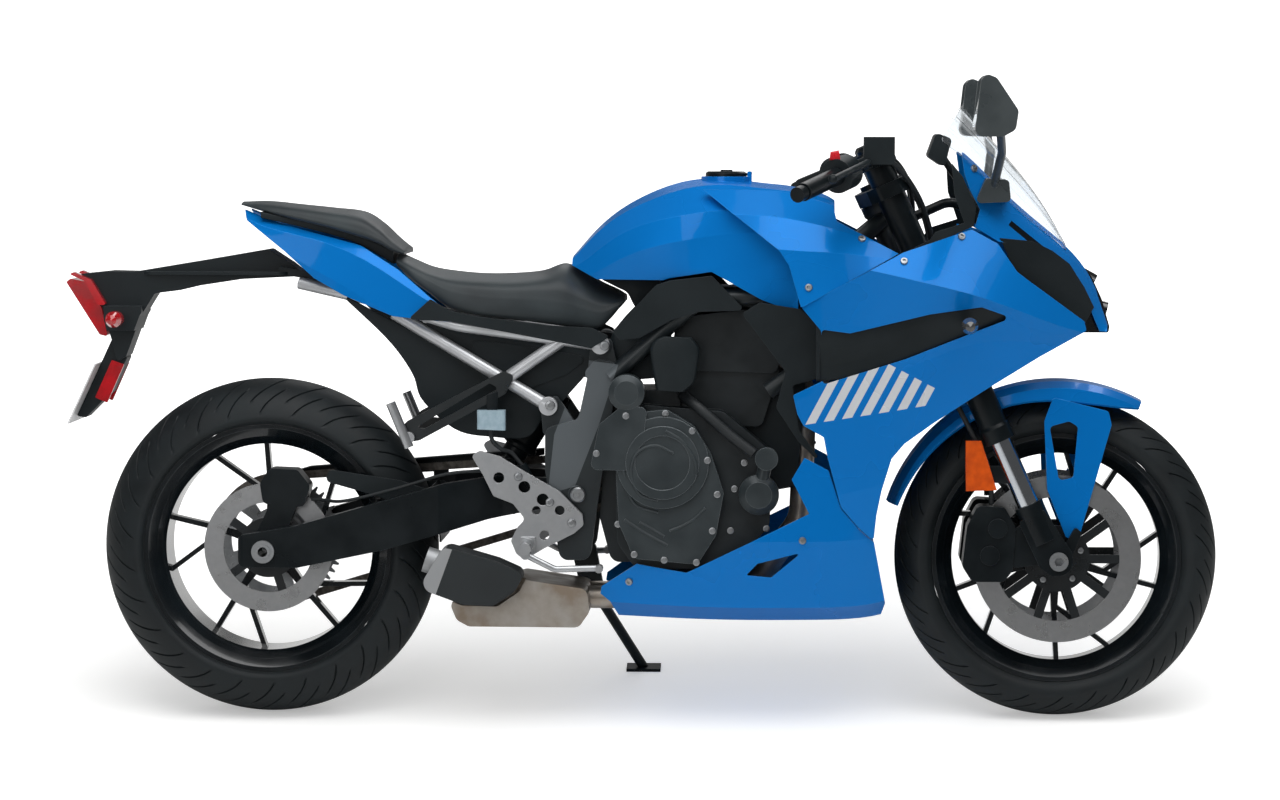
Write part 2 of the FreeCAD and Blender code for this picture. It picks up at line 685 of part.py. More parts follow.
def make_front_fender():
    """Mudguard: bands set radially about the axle, and a leg down to each fork foot."""
    bands = []
    for angle, half, side_drop in ((162, 58, 18), (142, 64, 24), (116, 70, 30), (98, 80, 34),
                                   (80, 86, 36), (68, 74, 26), (61.5, 52, 14)):
        turn = math.radians(angle)
        out = V(math.cos(turn), 0, math.sin(turn))
        top = sheet.fender_radius
        section = ((half, top - side_drop), (half - 3, top - 14), (0.62 * half, top - 3), (0, top))
        outer = [FRONT_AXLE + out * r - ACROSS * w for w, r in section]
        outer += [FRONT_AXLE + out * r + ACROSS * w for w, r in reversed(section[:-1])]
        wall = sheet.panel_wall
        inner = [FRONT_AXLE + out * (r - wall) - ACROSS * max(w - wall, 0) for w, r in section]
        inner += [FRONT_AXLE + out * (r - wall) + ACROSS * (w - wall) for w, r in reversed(section[:-1])]
        bands.append(Part.makePolygon(outer + inner[::-1] + [outer[0]]))
    shell = Part.makeLoft(bands, True, False)
    leg_face = -86
    leg_outline = ((92, 275), (98, 250), (68, 142), (40, 43), (16, 39), (-20, 130), (-26, 256), (-10, 300))
    leg = plate(side_points(leg_outline, FRONT_AXLE), leg_face, leg_face + sheet.panel_wall, 8)
    hole = plate(side_points(((-16, 246), (20, 256), (36, 246), (28, 152), (2, 146)), FRONT_AXLE),
                 leg_face - 2, leg_face + 8, 8)
    leg = leg.cut(hole)
    feature("front_fender", shell.fuse([leg, other_side(leg)]))


make_front_fender()


# Frame and what holds the rear wheel
PLATE_INNER = sheet.frame_half_width - sheet.pivot_plate_thickness / 2
PLATE_OUTER = sheet.frame_half_width + sheet.pivot_plate_thickness / 2
HEAD_START = sheet.lower_clamp_start + sheet.clamp_thickness + 1.5
HEAD_END = sheet.upper_clamp_start - 1.5
STAND_SWING = math.radians(23)
STAND_AXIS = V(0, math.cos(STAND_SWING), math.sin(STAND_SWING))
STAND_PIVOT = PIVOT + V(22, sheet.frame_half_width + 26, -209)
STAND_PIN = 6
FRONT_SPROCKET = PIVOT + V(72, 0, 12)
FRONT = V(sheet.wheelbase - 1465, 0, 0)


def make_main_frame():
    """Head tube, two beams a side, pivot plates, cross tubes, pivot shaft and stand lug."""
    bearing = sheet.stem_radius + sheet.running_gap
    outside = sheet.head_tube_radius
    length = HEAD_END - HEAD_START
    profile = ((bearing, 0), (outside + 4, 0), (outside + 4, 18), (outside, 24), (outside, length - 24),
               (outside + 4, length - 18), (outside + 4, length), (bearing, length), (bearing, length - 14),
               (bearing + 5, length - 14), (bearing + 5, 14), (bearing, 14))
    head = lathe(profile, steer(HEAD_START), AXIS)
    hollow = rod(steer(HEAD_START + 20), steer(HEAD_END - 20), bearing + 6)
    side = -sheet.frame_half_width - 4
    radius = sheet.frame_tube_radius
    upper = tube([steer(HEAD_END - 34, -8, -24), V(985, side, 792), V(800, side, 778),
                  V(PIVOT.x + 62, side + 4, PIVOT.z + 214)], radius, 70)
    lower = tube([steer(HEAD_START + 34, -8, -24), V(1040, side + 8, 690), V(930, side + 8, 610)], radius, 60)
    brace = rod(V(985, side + 4, 785), V(1010, side + 6, 668), radius - 4)
    outline = ((28, 252), (3, 137), (-58, 121), (-58, 44), (-30, -123), (25, -122), (40, -11), (79, 239))
    pivot_plate = plate(side_points(outline, PIVOT), -PLATE_INNER, -PLATE_OUTER, 18)
    lugs = [plate(side_points(points, PIVOT), -PLATE_INNER + 8, -PLATE_OUTER + 16, 9)
            for points in (((-62, 104), (4, 120), (-36, 180), (-68, 172)), ((20, 225), (78, 220), (64, 284), (26, 290)))]
    bosses = [rod(PIVOT + V(x, -PLATE_INNER - 8, z), PIVOT + V(x, -PLATE_OUTER - 8, z), 11)
              for x, z in ((-44, -13), (-5, -47))]
    stay = rod(FRONT + V(1046, side + 8, 693), FRONT + V(1046, -197.6, 693), 7)
    right = pivot_plate.fuse([upper, lower, brace, stay] + lugs + bosses)
    shaft = rod(PIVOT - ACROSS * (PLATE_OUTER + 7.5), PIVOT + ACROSS * (PLATE_OUTER + 7.5), sheet.pivot_shaft_radius)
    cross_high = rod(PIVOT + V(30, -PLATE_OUTER, 222), PIVOT + V(30, PLATE_OUTER, 222), 14)
    cross_low = rod(PIVOT + V(-12, -PLATE_OUTER, -104), PIVOT + V(-12, PLATE_OUTER, -104), 11)
    nuts = [rod(PIVOT + ACROSS * side * PLATE_OUTER, PIVOT + ACROSS * side * (PLATE_OUTER + 7.5), 15)
            for side in (-1, 1)]
    lug = plate(side_points(((-24, -115), (24, -115), (44, -222), (2, -230)), PIVOT), PLATE_INNER, PLATE_OUTER, 10)
    boss = rod(STAND_PIVOT - STAND_AXIS * 24, STAND_PIVOT - STAND_AXIS * 8.6, 15)
    pin = rod(STAND_PIVOT - STAND_AXIS * 20, STAND_PIVOT + STAND_AXIS * 11, STAND_PIN)
    pin_head = rod(STAND_PIVOT + STAND_AXIS * 8.6, STAND_PIVOT + STAND_AXIS * 14, 10.5)
    whole = head.fuse([right, other_side(right)]).cut(hollow)
    bearing_bore = rod(steer(HEAD_START - 5), steer(HEAD_END + 5), bearing)
    shock_ears = [plate(side_points(((-38, 213), (-38, 247), (28, 236), (28, 208)), PIVOT), side * 21, side * 29, 8)
                  for side in (-1, 1)]
    whole = whole.cut(bearing_bore).fuse([shaft, cross_high, cross_low, lug, boss, pin, pin_head] + nuts
                                         + shock_ears)
    feature("main_frame", whole)


make_main_frame()


def make_swingarm():
    """Two arms, a cross member and the pivot tube, drilled for the shaft and the axle."""
    inner = sheet.arm_inner
    outer = inner + sheet.arm_thickness
    front = PIVOT.x + 26
    waist = (PLATE_INNER - 3, PLATE_INNER - 24)
    plan = ((-48, -inner), (335, -inner), (435, -waist[1]), (front, -waist[1]),
            (front, -waist[0]), (440, -waist[0]), (325, -outer), (-48, -outer))
    side = ((-48, 342), (-48, 284), (62, 283), (220, 316), (413, 372), (540, 397),
            (front, 397), (front, 445), (430, 452), (335, 440), (58, 360))
    arm = plan_plate(plan, 250, 480, 12).common(plate(side_points(side), 0, -200, 14))
    left = other_side(arm)
    bridge = Part.makeBox(74, 2 * waist[0] - 20, 56, V(388, 10 - waist[0], 380))
    pivot_tube = rod(PIVOT - ACROSS * waist[0], PIVOT + ACROSS * waist[0], 24.5)
    ears = [plate(side_points(((415, 430), (465, 430), (456, 478), (424, 478))), side * 21, side * 29, 8)
            for side in (-1, 1)]
    whole = arm.fuse([left, bridge, pivot_tube] + ears)
    shaft_hole = rod(PIVOT - ACROSS * 200, PIVOT + ACROSS * 200, sheet.pivot_shaft_radius + sheet.seat_gap)
    axle_hole = rod(REAR_AXLE - ACROSS * 200, REAR_AXLE + ACROSS * 200, sheet.rear_axle_radius + sheet.seat_gap)
    sprocket_room = rod(FRONT_SPROCKET + ACROSS * (sheet.chain_offset - 16), FRONT_SPROCKET + ACROSS * 200, 62)
    feature("swingarm", whole.cut([shaft_hole, axle_hole, sprocket_room]))


make_swingarm()


def make_rear_axle():
    """Rear axle with its nuts and the spacers between hub and arms."""
    arm_face = sheet.arm_inner - sheet.seat_gap
    outer = sheet.arm_inner + sheet.arm_thickness + sheet.seat_gap
    shaft = rod(REAR_AXLE - ACROSS * (outer + 10), REAR_AXLE + ACROSS * (outer + 10), sheet.rear_axle_radius)
    parts = []
    for side in (-1, 1):
        hub_face = REAR_AXLE + ACROSS * side * (sheet.rear_hub_length / 2 + sheet.seat_gap)
        parts.append(rod(hub_face, REAR_AXLE + ACROSS * side * arm_face, sheet.rear_axle_radius + 7))
        outside = REAR_AXLE + ACROSS * side * outer
        parts.append(rod(outside, outside + ACROSS * side * 8, sheet.rear_axle_radius + 7))
    through = rod(REAR_AXLE - ACROSS * 200, REAR_AXLE + ACROSS * 200, sheet.rear_axle_radius - 5)
    feature("rear_axle", shaft.fuse(parts).cut(through))


make_rear_axle()


def make_rear_caliper():
    """Caliper over the rear rotor, on a bracket that hangs on the right-hand spacer."""
    middle = sheet.rear_disc_offset
    outline = ((-6, 84), (70, 78), (82, 118), (58, 148), (6, 150), (-12, 122))
    block = plate(side_points(outline, REAR_AXLE), -middle + 24, -middle - 34, 12)
    arm_outline = ((-26, -20), (26, -20), (34, 20), (62, 96), (20, 110), (-24, 20))
    arm = plate(side_points(arm_outline, REAR_AXLE), -middle - 12, -middle - 34, 10)
    slot_half = sheet.disc_thickness / 2 + sheet.disc_clearance
    slot = rod(REAR_AXLE - ACROSS * (middle - slot_half), REAR_AXLE - ACROSS * (middle + slot_half),
               sheet.rear_disc_radius + 6)
    hole = rod(REAR_AXLE, REAR_AXLE - ACROSS * 200, sheet.rear_axle_radius + 7 + sheet.seat_gap)
    feature("rear_caliper", block.fuse(arm).cut([slot, hole]))


make_rear_caliper()

# Chain run: two sprockets, the line between their tops and the line between their bottoms
REAR_PITCH = pitch_radius(sheet.rear_sprocket_teeth)
FRONT_PITCH = pitch_radius(sheet.front_sprocket_teeth)
GEARBOX_STEP = 17


def chain_line(margin):
    """The belt outline round both sprockets, a margin outside the pitch circles."""
    span = FRONT_SPROCKET - REAR_AXLE
    slope = math.atan2(span.z, span.x)
    lean = math.acos((REAR_PITCH - FRONT_PITCH) / span.Length)
    edges = []
    ends = []
    for centre, radius in ((REAR_AXLE, REAR_PITCH + margin), (FRONT_SPROCKET, FRONT_PITCH + margin)):
        ends.append([centre + V(math.cos(slope + turn), 0, math.sin(slope + turn)) * radius
                     for turn in (lean, -lean)])
    back = REAR_AXLE - V(math.cos(slope), 0, math.sin(slope)) * (REAR_PITCH + margin)
    tip = FRONT_SPROCKET + V(math.cos(slope), 0, math.sin(slope)) * (FRONT_PITCH + margin)
    edges.append(Part.LineSegment(ends[0][0], ends[1][0]).toShape())
    edges.append(Part.Arc(ends[1][0], tip, ends[1][1]).toShape())
    edges.append(Part.LineSegment(ends[1][1], ends[0][1]).toShape())
    edges.append(Part.Arc(ends[0][1], back, ends[0][0]).toShape())
    return Part.Wire(edges), ends


def make_chain():
    """Side plates that straddle the sprocket, rollers along both runs, and the gearbox sprocket."""
    half = sheet.link_height / 2
    outer, _ = chain_line(half)
    inner, _ = chain_line(-half)
    _, ends = chain_line(0)
    gap = sheet.sprocket_thickness / 2 + 1.2
    ring = Part.Face(outer).cut(Part.Face(inner))
    sides = []
    for near in (sheet.chain_offset - gap - sheet.link_plate, sheet.chain_offset + gap):
        side = ring.copy()
        side.translate(ACROSS * near)
        sides.append(side.extrude(ACROSS * sheet.link_plate))
    rollers = []
    size = 0.3 * sheet.chain_pitch
    for start, end in ((ends[0][0], ends[1][0]), (ends[0][1], ends[1][1])):
        run = end - start
        count = int(run.Length / sheet.chain_pitch / 2) - 1
        for number in range(2, count):
            centre = start + run * (number / count)
            roller = Part.makeBox(2 * size, 2 * gap + 1, 2 * size, V(-size, -gap - 0.5, -size))
            roller.Placement = FreeCAD.Placement(centre + ACROSS * sheet.chain_offset, FreeCAD.Rotation())
            rollers.append(roller)
    loop = sides[0].fuse(sides[1:] + rollers)
    gear = toothed_plate(int(sheet.front_sprocket_teeth), 9, sheet.sprocket_thickness)
    boss = Part.makeCylinder(24, sheet.sprocket_thickness / 2 + GEARBOX_STEP - sheet.seat_gap)
    gear = gear.fuse(boss)
    gear.Placement = FreeCAD.Placement(FRONT_SPROCKET + ACROSS * sheet.chain_offset, WHEEL_TURN)
    feature("chain", Part.Compound([loop, gear]))


make_chain()

# Engine: the cases and cylinders, with the side covers apart
ENGINE_WALL = PLATE_INNER - 4
GEARBOX_FACE = sheet.chain_offset - GEARBOX_STEP - sheet.sprocket_thickness / 2
CASE_HALF = sheet.crankcase_half_width
HEAD_OUTLINE = ((8, 166), (24, 262), (152, 278), (220, 196), (206, 160))


def make_engine():
    """Crankcase, inclined cylinders with their head, gearbox end and sump."""
    gearbox = plate(side_points(((-118, -108), (-96, -190), (30, -190), (30, 130), (-60, 128), (-104, 92)), CRANK),
                    -ENGINE_WALL, GEARBOX_FACE, 20)
    case = plate(side_points(((-90, 60), (-84, -150), (-52, -196), (120, -200), (196, -118), (196, 20), (110, 92),
                              (-40, 104)), CRANK), -CASE_HALF, CASE_HALF, 26)
    relief = Part.makeBox(150, 200, 330, V(CRANK.x - 150 - 32, GEARBOX_FACE, CRANK.z - 140))
    cylinders = plate(side_points(((30, 70), (14, 150), (30, 244), (150, 262), (214, 170), (180, 60)), CRANK),
                      -96, 96, 16)
    head = plate(side_points(HEAD_OUTLINE, CRANK), -104, 104, 12)
    lugs = rod(CRANK + V(-102, -PLATE_INNER + 0.3, 73), CRANK + V(-102, PLATE_INNER - 0.3, 73), 14)
    sump = plate(side_points(((-30, -190), (-14, -238), (118, -238), (140, -190)), CRANK), -90, 90, 12)
    return feature("engine_block", gearbox.fuse([case.cut(relief), cylinders, head, sump, lugs]))


engine_block = make_engine()


def make_engine_covers():
    """Clutch cover with its round face and guard, generator cover, pump and sprocket cover."""
    face = -CASE_HALF - sheet.seat_gap
    depth = sheet.clutch_cover_depth
    outline = ((-52, -177), (64, -187), (98, -133), (112, -55), (88, 17), (58, 67), (8, 97), (-48, 92),
               (-86, 37), (-84, -53), (-80, -113))
    clutch = plate(side_points(outline, CRANK), face, face - 0.7 * depth, 16)
    step = rod(CRANK + ACROSS * (face - 0.6 * depth), CRANK + ACROSS * (face - 0.9 * depth), 84)
    step = step.common(plate(side_points(outline, CRANK), face, face - 2 * depth, 16))
    disc = rod(CRANK + ACROSS * (face - 0.8 * depth), CRANK + ACROSS * (face - depth), 67)
    dish = rod(CRANK + ACROSS * (face - 0.93 * depth), CRANK + ACROSS * (face - 2 * depth), 50)
    guard = plate(side_points(((-133, -13), (-116, 70), (-70, 108), (-28, 100), (-34, 52), (-62, -14)), CRANK),
                  face - 0.7 * depth, face - 0.95 * depth, 12)
    clutch = clutch.fuse([step, disc]).cut(dish).fuse(guard)
    generator = lathe(((0, 0), (82, 0), (82, 0.5 * sheet.generator_cover_depth), (66, sheet.generator_cover_depth),
                       (0, sheet.generator_cover_depth)), CRANK + ACROSS * (CASE_HALF + sheet.seat_gap), ACROSS)
    pump = lathe(((0, 0), (37, 0), (37, 22), (24, 34), (0, 34)), CRANK + V(176, face, -59), -ACROSS)
    neck = rod(CRANK + V(176, face - 18, -59), CRANK + V(190, face - 18, 8), 13)
    elbow = rod(CRANK + V(190, face - 18, 8), CRANK + V(190, face - 40, 8), 21)
    cap = lathe(((0, 0), (33, 0), (33, 44), (22, 50), (0, 50)), CRANK + V(-66, -PLATE_OUTER - 11, 128), -ACROSS)
    feature("engine_covers", Part.Compound([clutch.fuse(cap), generator, pump.fuse([neck, elbow])]))


make_engine_covers()


MUFFLER_FACE = 98


def make_exhaust():
    """Two header pipes down the front of the engine into one, and the collector box under it."""
    radius = sheet.header_radius
    pipes = []
    for side in (-42, 42):
        pipes.append(tube([CRANK + V(212, side, 176), CRANK + V(262, side, 130), CRANK + V(252, side, -120),
                           CRANK + V(150, side, -262), CRANK + V(-60, side, -262), CRANK + V(-150, side, -262)],
                          radius, 70))
    outline = ((341, 222), (356, 186), (378, 174), (582, 173), (602, 202), (597, 244), (474, 262))
    muffler_room = plate(side_points(((326, 340), (434, 307), (494, 281), (472, 239), (431, 211), (366, 213),
                                      (276, 247))), sheet.seat_gap - MUFFLER_FACE, -250, 16)
    box = plate(side_points(outline), -128, 74, 16).cut(muffler_room)
    joined = box.fuse(pipes).cut(engine_block.Shape)
    feature("exhaust_pipes", max(joined.Solids, key=lambda piece: piece.Volume))


make_exhaust()


def make_muffler():
    """Short upswept silencer at the right, with its round outlet."""
    near = -MUFFLER_FACE
    far = near - sheet.muffler_depth
    outline = ((336, 328), (434, 300), (486, 277), (466, 244), (428, 218), (372, 220), (290, 250))
    body = plate(side_points(outline), near, far, 20)
    outlet = rod(V(345, (near + far) / 2, 285), V(300, (near + far) / 2, 300), 24)
    bore = rod(V(352, (near + far) / 2, 282.6), V(280, (near + far) / 2, 306.6), 20)
    feature("muffler", body.fuse(outlet).cut(bore))


make_muffler()


def make_rear_shock():
    """Damper with its spring, between the swingarm's ears and the frame's."""
    low = V(440, 0, 462)
    high = PIVOT + V(-22, 0, 229)
    axis = (high - low).normalize()
    length = high.distanceToPoint(low)
    profile = ((0, 0), (12, 0), (12, 18), (24, 26), (24, 40), (35, 44), (35, 50), (31, 56), (31, 152),
               (35, 158), (35, 170), (22, 176), (22, 192), (12, 200), (12, length), (0, length))
    damper = lathe(profile, low, axis)
    eyes = [rod(point - ACROSS * 20.7, point + ACROSS * 20.7, 14) for point in (low, high)]
    feature("rear_shock", damper.fuse(eyes))


make_rear_shock()


def make_subframe():
    """Silver rear frame: two tubes and a brace a side, with their bosses and cross pieces."""
    side = -sheet.subframe_half_width
    radius = sheet.subframe_tube_radius
    top_mount = PIVOT + V(44, side, 275)
    low_mount = PIVOT + V(-52, side, 162)
    joint = V(359, side, 731)
    tail_end = V(60, side + 66, 806)
    upper = tube([top_mount, joint, V(200, side + 36, 776), tail_end], radius, 120)
    lower = rod(low_mount, V(239, side + 28, 752), radius)
    brace = rod(V(455, side, 638), V(551, side, 704), radius)
    face = -(PLATE_OUTER - 16 + sheet.seat_gap)
    bosses = [rod(V(point.x, face, point.z), V(point.x, face - 24, point.z), 17) for point in (top_mount, low_mount)]
    right = upper.fuse([lower, brace] + bosses)
    ties = [rod(V(x, -half, z), V(x, half, z), radius - 2)
            for x, z, half in ((300, 744, 116), (66, 804, 70))]
    feature("subframe", right.fuse([other_side(right)] + ties))


make_subframe()


def make_side_stand():
    """Leg on the left with its eye, its foot flat on the ground when the bike leans."""
    deployed = V(0.398, 0.553, -0.730).normalize()
    lean = math.radians(sheet.lean_angle)
    ground = V(0, -math.sin(lean), math.cos(lean))
    crown = sheet.rear_tyre_width / 2 + sheet.crown_margin
    lift = crown * (1 - math.cos(lean))
    foot = 6
    reach = (STAND_PIVOT.dot(ground) + lift - foot / 2) / -deployed.dot(ground)
    toe = STAND_PIVOT + deployed * reach
    eye = rod(STAND_PIVOT - STAND_AXIS * 8, STAND_PIVOT + STAND_AXIS * 8, 15)
    leg = rod(STAND_PIVOT + deployed * 13, toe, sheet.stand_tube_radius)
    hole = rod(STAND_PIVOT - STAND_AXIS * 20, STAND_PIVOT + STAND_AXIS * 20, STAND_PIN + sheet.running_gap)
    pad_shape = Part.makeBox(66, 40, foot, V(-33, -20, -foot / 2))
    pad_shape.Placement = FreeCAD.Placement(toe, FreeCAD.Rotation(V(0, 0, 1), ground))
    below = Part.makeBox(400, 400, 60, V(-200, -200, -60 - foot / 2))
    below.Placement = pad_shape.Placement
    feature("side_stand", eye.fuse([leg, pad_shape]).cut([hole, below]))


make_side_stand()

# Bodywork. The pieces at the nose go with the front axle.
WALL = sheet.panel_wall


def clip(shape, outline, base=V(0, 0, 0), corner=0.0):
    """Keep what lies behind a side-view outline, right to the middle of the bike and beyond."""
    return shape.common(plate(side_points(outline, base), -600, 600, corner))


CAP_CENTRE = V(850, 0, 0)


def make_tank():
    """Fuel tank with its filler ring, its bore and the ears of the cap's hinge."""
    half = sheet.tank_half_width
    top = sheet.tank_height
    stations = (
        (566, ((0, -146), (0.27, -150), (0.41, -164), (0.43, -186), (0.42, -202), (0.4, -215))),
        (600, ((0, -107), (0.3, -114), (0.53, -146), (0.58, -180), (0.57, -205), (0.53, -225))),
        (645, ((0, -66), (0.38, -76), (0.68, -112), (0.75, -156), (0.68, -196), (0.64, -230))),
        (705, ((0, -31), (0.48, -44), (0.84, -84), (0.93, -130), (0.82, -186), (0.76, -235))),
        (785, ((0, -5), (0.58, -18), (0.96, -66), (1, -112), (0.97, -170), (0.9, -235))),
        (860, ((0, -3), (0.58, -13), (0.97, -58), (1, -102), (1, -165), (1, -240))),
        (930, ((0, -11), (0.56, -20), (0.92, -62), (1, -102), (1, -165), (1, -250))),
        (985, ((0, -19), (0.52, -27), (0.85, -62), (0.97, -102), (1, -165), (1, -255))))
    sections = [(x, [(share * half, top + drop) for share, drop in section]) for x, section in stations]
    body = solid_loft(sections)
    body = clip(body, ((556, 845), (668, 787), (687, 778), (725, 811), (750, 819), (826, 831), (918, 780),
                       (985, 755), (985, 1100), (560, 1100)))
    tunnel = Part.makeBox(600, 2 * half - 8, 215, V(540, 4 - half, 600))
    ring = rod(CAP_CENTRE + V(0, 0, top - 60), CAP_CENTRE + V(0, 0, top + 2), sheet.cap_radius + 8)
    ears = [Part.makeBox(8, 6, 23, CAP_HINGE + V(-4, -3 + side * 13.4, -19)) for side in (-1, 1)]
    pin = rod(CAP_HINGE - ACROSS * 16, CAP_HINGE + ACROSS * 16, 2)
    filler = rod(CAP_CENTRE + V(0, 0, top - 58), CAP_CENTRE + V(0, 0, top + 10), 22)
    holes = []
    for turn in (45, 135, 225, 315):
        angle = math.radians(turn)
        spot = CAP_CENTRE + V(math.cos(angle), math.sin(angle), 0) * sheet.ring_screw_circle
        holes.append(rod(spot + V(0, 0, top - 18), spot + V(0, 0, top + 10), sheet.ring_screw_radius))
    return feature("fuel_tank", body.cut(tunnel).fuse([ring] + ears + [pin]).cut([filler] + holes))


CAP_HINGE = CAP_CENTRE + V(sheet.cap_radius + 6, 0, sheet.tank_height + 7)
fuel_tank = make_tank()


def make_cap():
    """Lid with its lock boss and its hinge knuckle."""
    base = sheet.tank_height + 2 + sheet.seat_gap
    radius = sheet.cap_radius
    lid = lathe(((0, 0), (radius, 0), (radius, 6), (radius - 4, 9), (0, 9)), CAP_CENTRE + V(0, 0, base), V(0, 0, 1))
    flap = Part.makeBox(22, 14, 6, CAP_CENTRE + V(-10, -7, base + 6))
    arm = Part.makeBox(12, 19, 5, CAP_CENTRE + V(radius - 7, -9.5, base + 1))
    knuckle = rod(CAP_HINGE - ACROSS * 9.5, CAP_HINGE + ACROSS * 9.5, 4.5)
    hole = rod(CAP_HINGE - ACROSS * 20, CAP_HINGE + ACROSS * 20, 2 + sheet.running_gap)
    feature("fuel_cap", lid.fuse([flap, arm, knuckle]).cut(hole))


make_cap()


def make_seats():
    """Rider's seat and the raised passenger's seat."""
    half = sheet.seat_half_width
    stations = (
        (240, ((0, 860), (0.62, 854), (0.74, 842), (0.72, 800))),
        (305, ((0, 834), (0.72, 829), (0.88, 812), (0.86, 776))),
        (385, ((0, 823), (0.8, 818), (1, 798), (0.98, 745))),
        (480, ((0, 824), (0.76, 818), (0.98, 796), (0.96, 730))),
        (560, ((0, 841), (0.6, 830), (0.8, 800), (0.84, 735))),
        (620, ((0, 815), (0.5, 806), (0.68, 780), (0.72, 730))),
        (668, ((0, 786), (0.44, 780), (0.58, 765), (0.62, 740))))
    rider = solid_loft([(x, [(share * half, height) for share, height in section]) for x, section in stations])
    pillion = solid_loft((
        (-53, ((0, 957), (44, 955), (56, 948), (50, 940))),
        (0, ((0, 957), (60, 953), (76, 938), (70, 920))),
        (100, ((0, 946), (76, 940), (96, 918), (90, 895))),
        (184, ((0, 937), (84, 928), (106, 902), (98, 872))),
        (232, ((0, 902), (86, 894), (108, 872), (102, 850))),
        (262, ((0, 872), (84, 866), (100, 858), (98, 846)))))
    pillion = clip(pillion, ((-60, 951), (-47, 946), (132, 900), (184, 887), (247, 855), (264, 855), (264, 870),
                             (230, 1000), (-60, 1000)))
    feature("pillion_seat", pillion)
    rider = clip(rider, ((240, 900), (240, 836), (307, 786), (345, 761), (391, 751), (527, 734), (624, 724),
                         (668, 774), (668, 787), (566, 842), (549, 849), (500, 900)))
    rider = rider.cut([fuel_tank.Shape, pillion])
    feature("rider_seat", rider)


make_seats()


def make_tail():
    """Tail panels from below the seats to the rear point, open underneath."""
    right = skin((
        (-46, ((44, 944), (70, 932), (74, 915), (66, 908))),
        (57, ((74, 908), (94, 896), (95, 850), (92, 836))),
        (150, ((92, 884), (110, 868), (109, 800), (107, 770))),
        (249, ((104, 850), (126, 812), (124, 745), (122, 730))),
        (362, ((130, 770), (146, 752), (146, 738), (142, 730)))), WALL)
    right = clip(right, ((-43, 942), (57, 914), (150, 888), (180, 875), (249, 832), (305, 785), (343, 756),
                         (357, 742), (323, 739), (239, 747), (146, 785), (91, 816), (36, 865), (-36, 922)))
    return feature("tail_fairing", both_sides(right))


tail_fairing = make_tail()


PLATE_LOW = V(-368.5, 0, 543.6)
PLATE_RUN = V(34, 0, 73).normalize()


def make_tail_tray():
    """Black tray under the tail with the lamp housing, and the hanger down to the plate."""
    outline = ((-366, 819), (-299, 826), (-252, 825), (-127, 846), (0, 868), (40, 842), (70, 818), (-50, 812),
               (-128, 800), (-166, 791), (-214, 785), (-240, 743), (-268, 668), (-284, 656), (-296, 700), (-313, 760),
               (-338, 806))
    rear = plate(side_points(outline), -38, 38, 8)
    core = plate(side_points(((20, 836), (205, 808), (214, 790), (20, 822))), -52, 52, 3)
    shelf = plan_plate(((-240, -42), (-60, -58), (40, -62), (40, 62), (-60, 58), (-240, 42)), 820, 826, 20)
    shelf = shelf.common(plate(side_points(outline), -100, 100))
    backing = [PLATE_LOW + PLATE_RUN * 12, PLATE_LOW + PLATE_RUN * 78]
    arm = plate(side_points(((-296, 700), (-268, 664), (-298, 600), (-346, 552))) + backing, -28, 28, 3)
    cheeks = Part.makeBox(70, 120, 46, V(-306, -60, 716)).common(plate(side_points(outline), -80, 80))
    feature("tail_tray", rear.fuse([core, shelf, arm, cheeks]))


make_tail_tray()


def make_rear_lamps():
    """Tail light, round-cornered reflector and the two signals on their stalks."""
    lamp = plate(side_points(((-371, 821.5), (-362, 825), (-330, 811), (-302, 764), (-318, 764), (-342, 808))), -58, -38.3, 3)
    lens = plate(side_points(((-372, 812), (-380, 806), (-318, 708), (-303, 704), (-313.6, 757), (-340, 806.4))), -38, 38, 3)
    reflector = plate(side_points(((-296, 660), (-273, 652), (-305, 580), (-328, 590))), -34, -28.3, 2)
    parts = [lens, lamp, other_side(lamp), reflector, other_side(reflector)]
    for side in (-1, 1):
        stalk = rod(V(-277, side * 60.3, 740), V(-277, side * 98, 740), 7)
        lump = lathe(((0, 0), (9, 0), (15, 12), (15, 40), (9, 62), (0, 68)), V(-277, side * 92, 740), ACROSS * side)
        parts.append(stalk.fuse(lump))
    feature("rear_lamps", Part.Compound(parts))


make_rear_lamps()


def make_number_plate():
    """Blank number plate on the slanting hanger."""
    board = Part.makeBox(3, 180, 122, V(-3.3, -90, 0))
    board.Placement = FreeCAD.Placement(PLATE_LOW, FreeCAD.Rotation(V(0, 0, 1), PLATE_RUN))
    feature("number_plate", board)


make_number_plate()


def make_side_covers():
    """Dark panels under the seat, between the tubes of the rear frame."""
    outline = ((268, 742), (345, 739), (606, 690), (640, 712), (606, 728), (527, 732), (391, 749), (345, 759), (310, 780))
    face = -sheet.subframe_half_width - sheet.subframe_tube_radius - sheet.seat_gap
    upper = plate(side_points(outline), face, face - WALL, 4).cut(tail_fairing.Shape)
    upper = max(upper.Solids, key=lambda piece: piece.Volume)
    lower = plate(side_points(((384, 702), (440, 698), (600, 672), (560, 640), (470, 606), (420, 620), (384, 654))),
                  -100, -104, 8)
    knee = plate(side_points(((644, 721), (725, 807), (750, 815), (827, 824), (888, 761), (805, 758), (754, 743),
                              (695, 710), (659, 706))), -142.4, -sheet.tank_half_width - WALL, 5)
    knee = knee.cut(fuel_tank.Shape)
    feature("side_covers", Part.Compound([both_sides(piece) for piece in (upper, lower, knee)]))


make_side_covers()


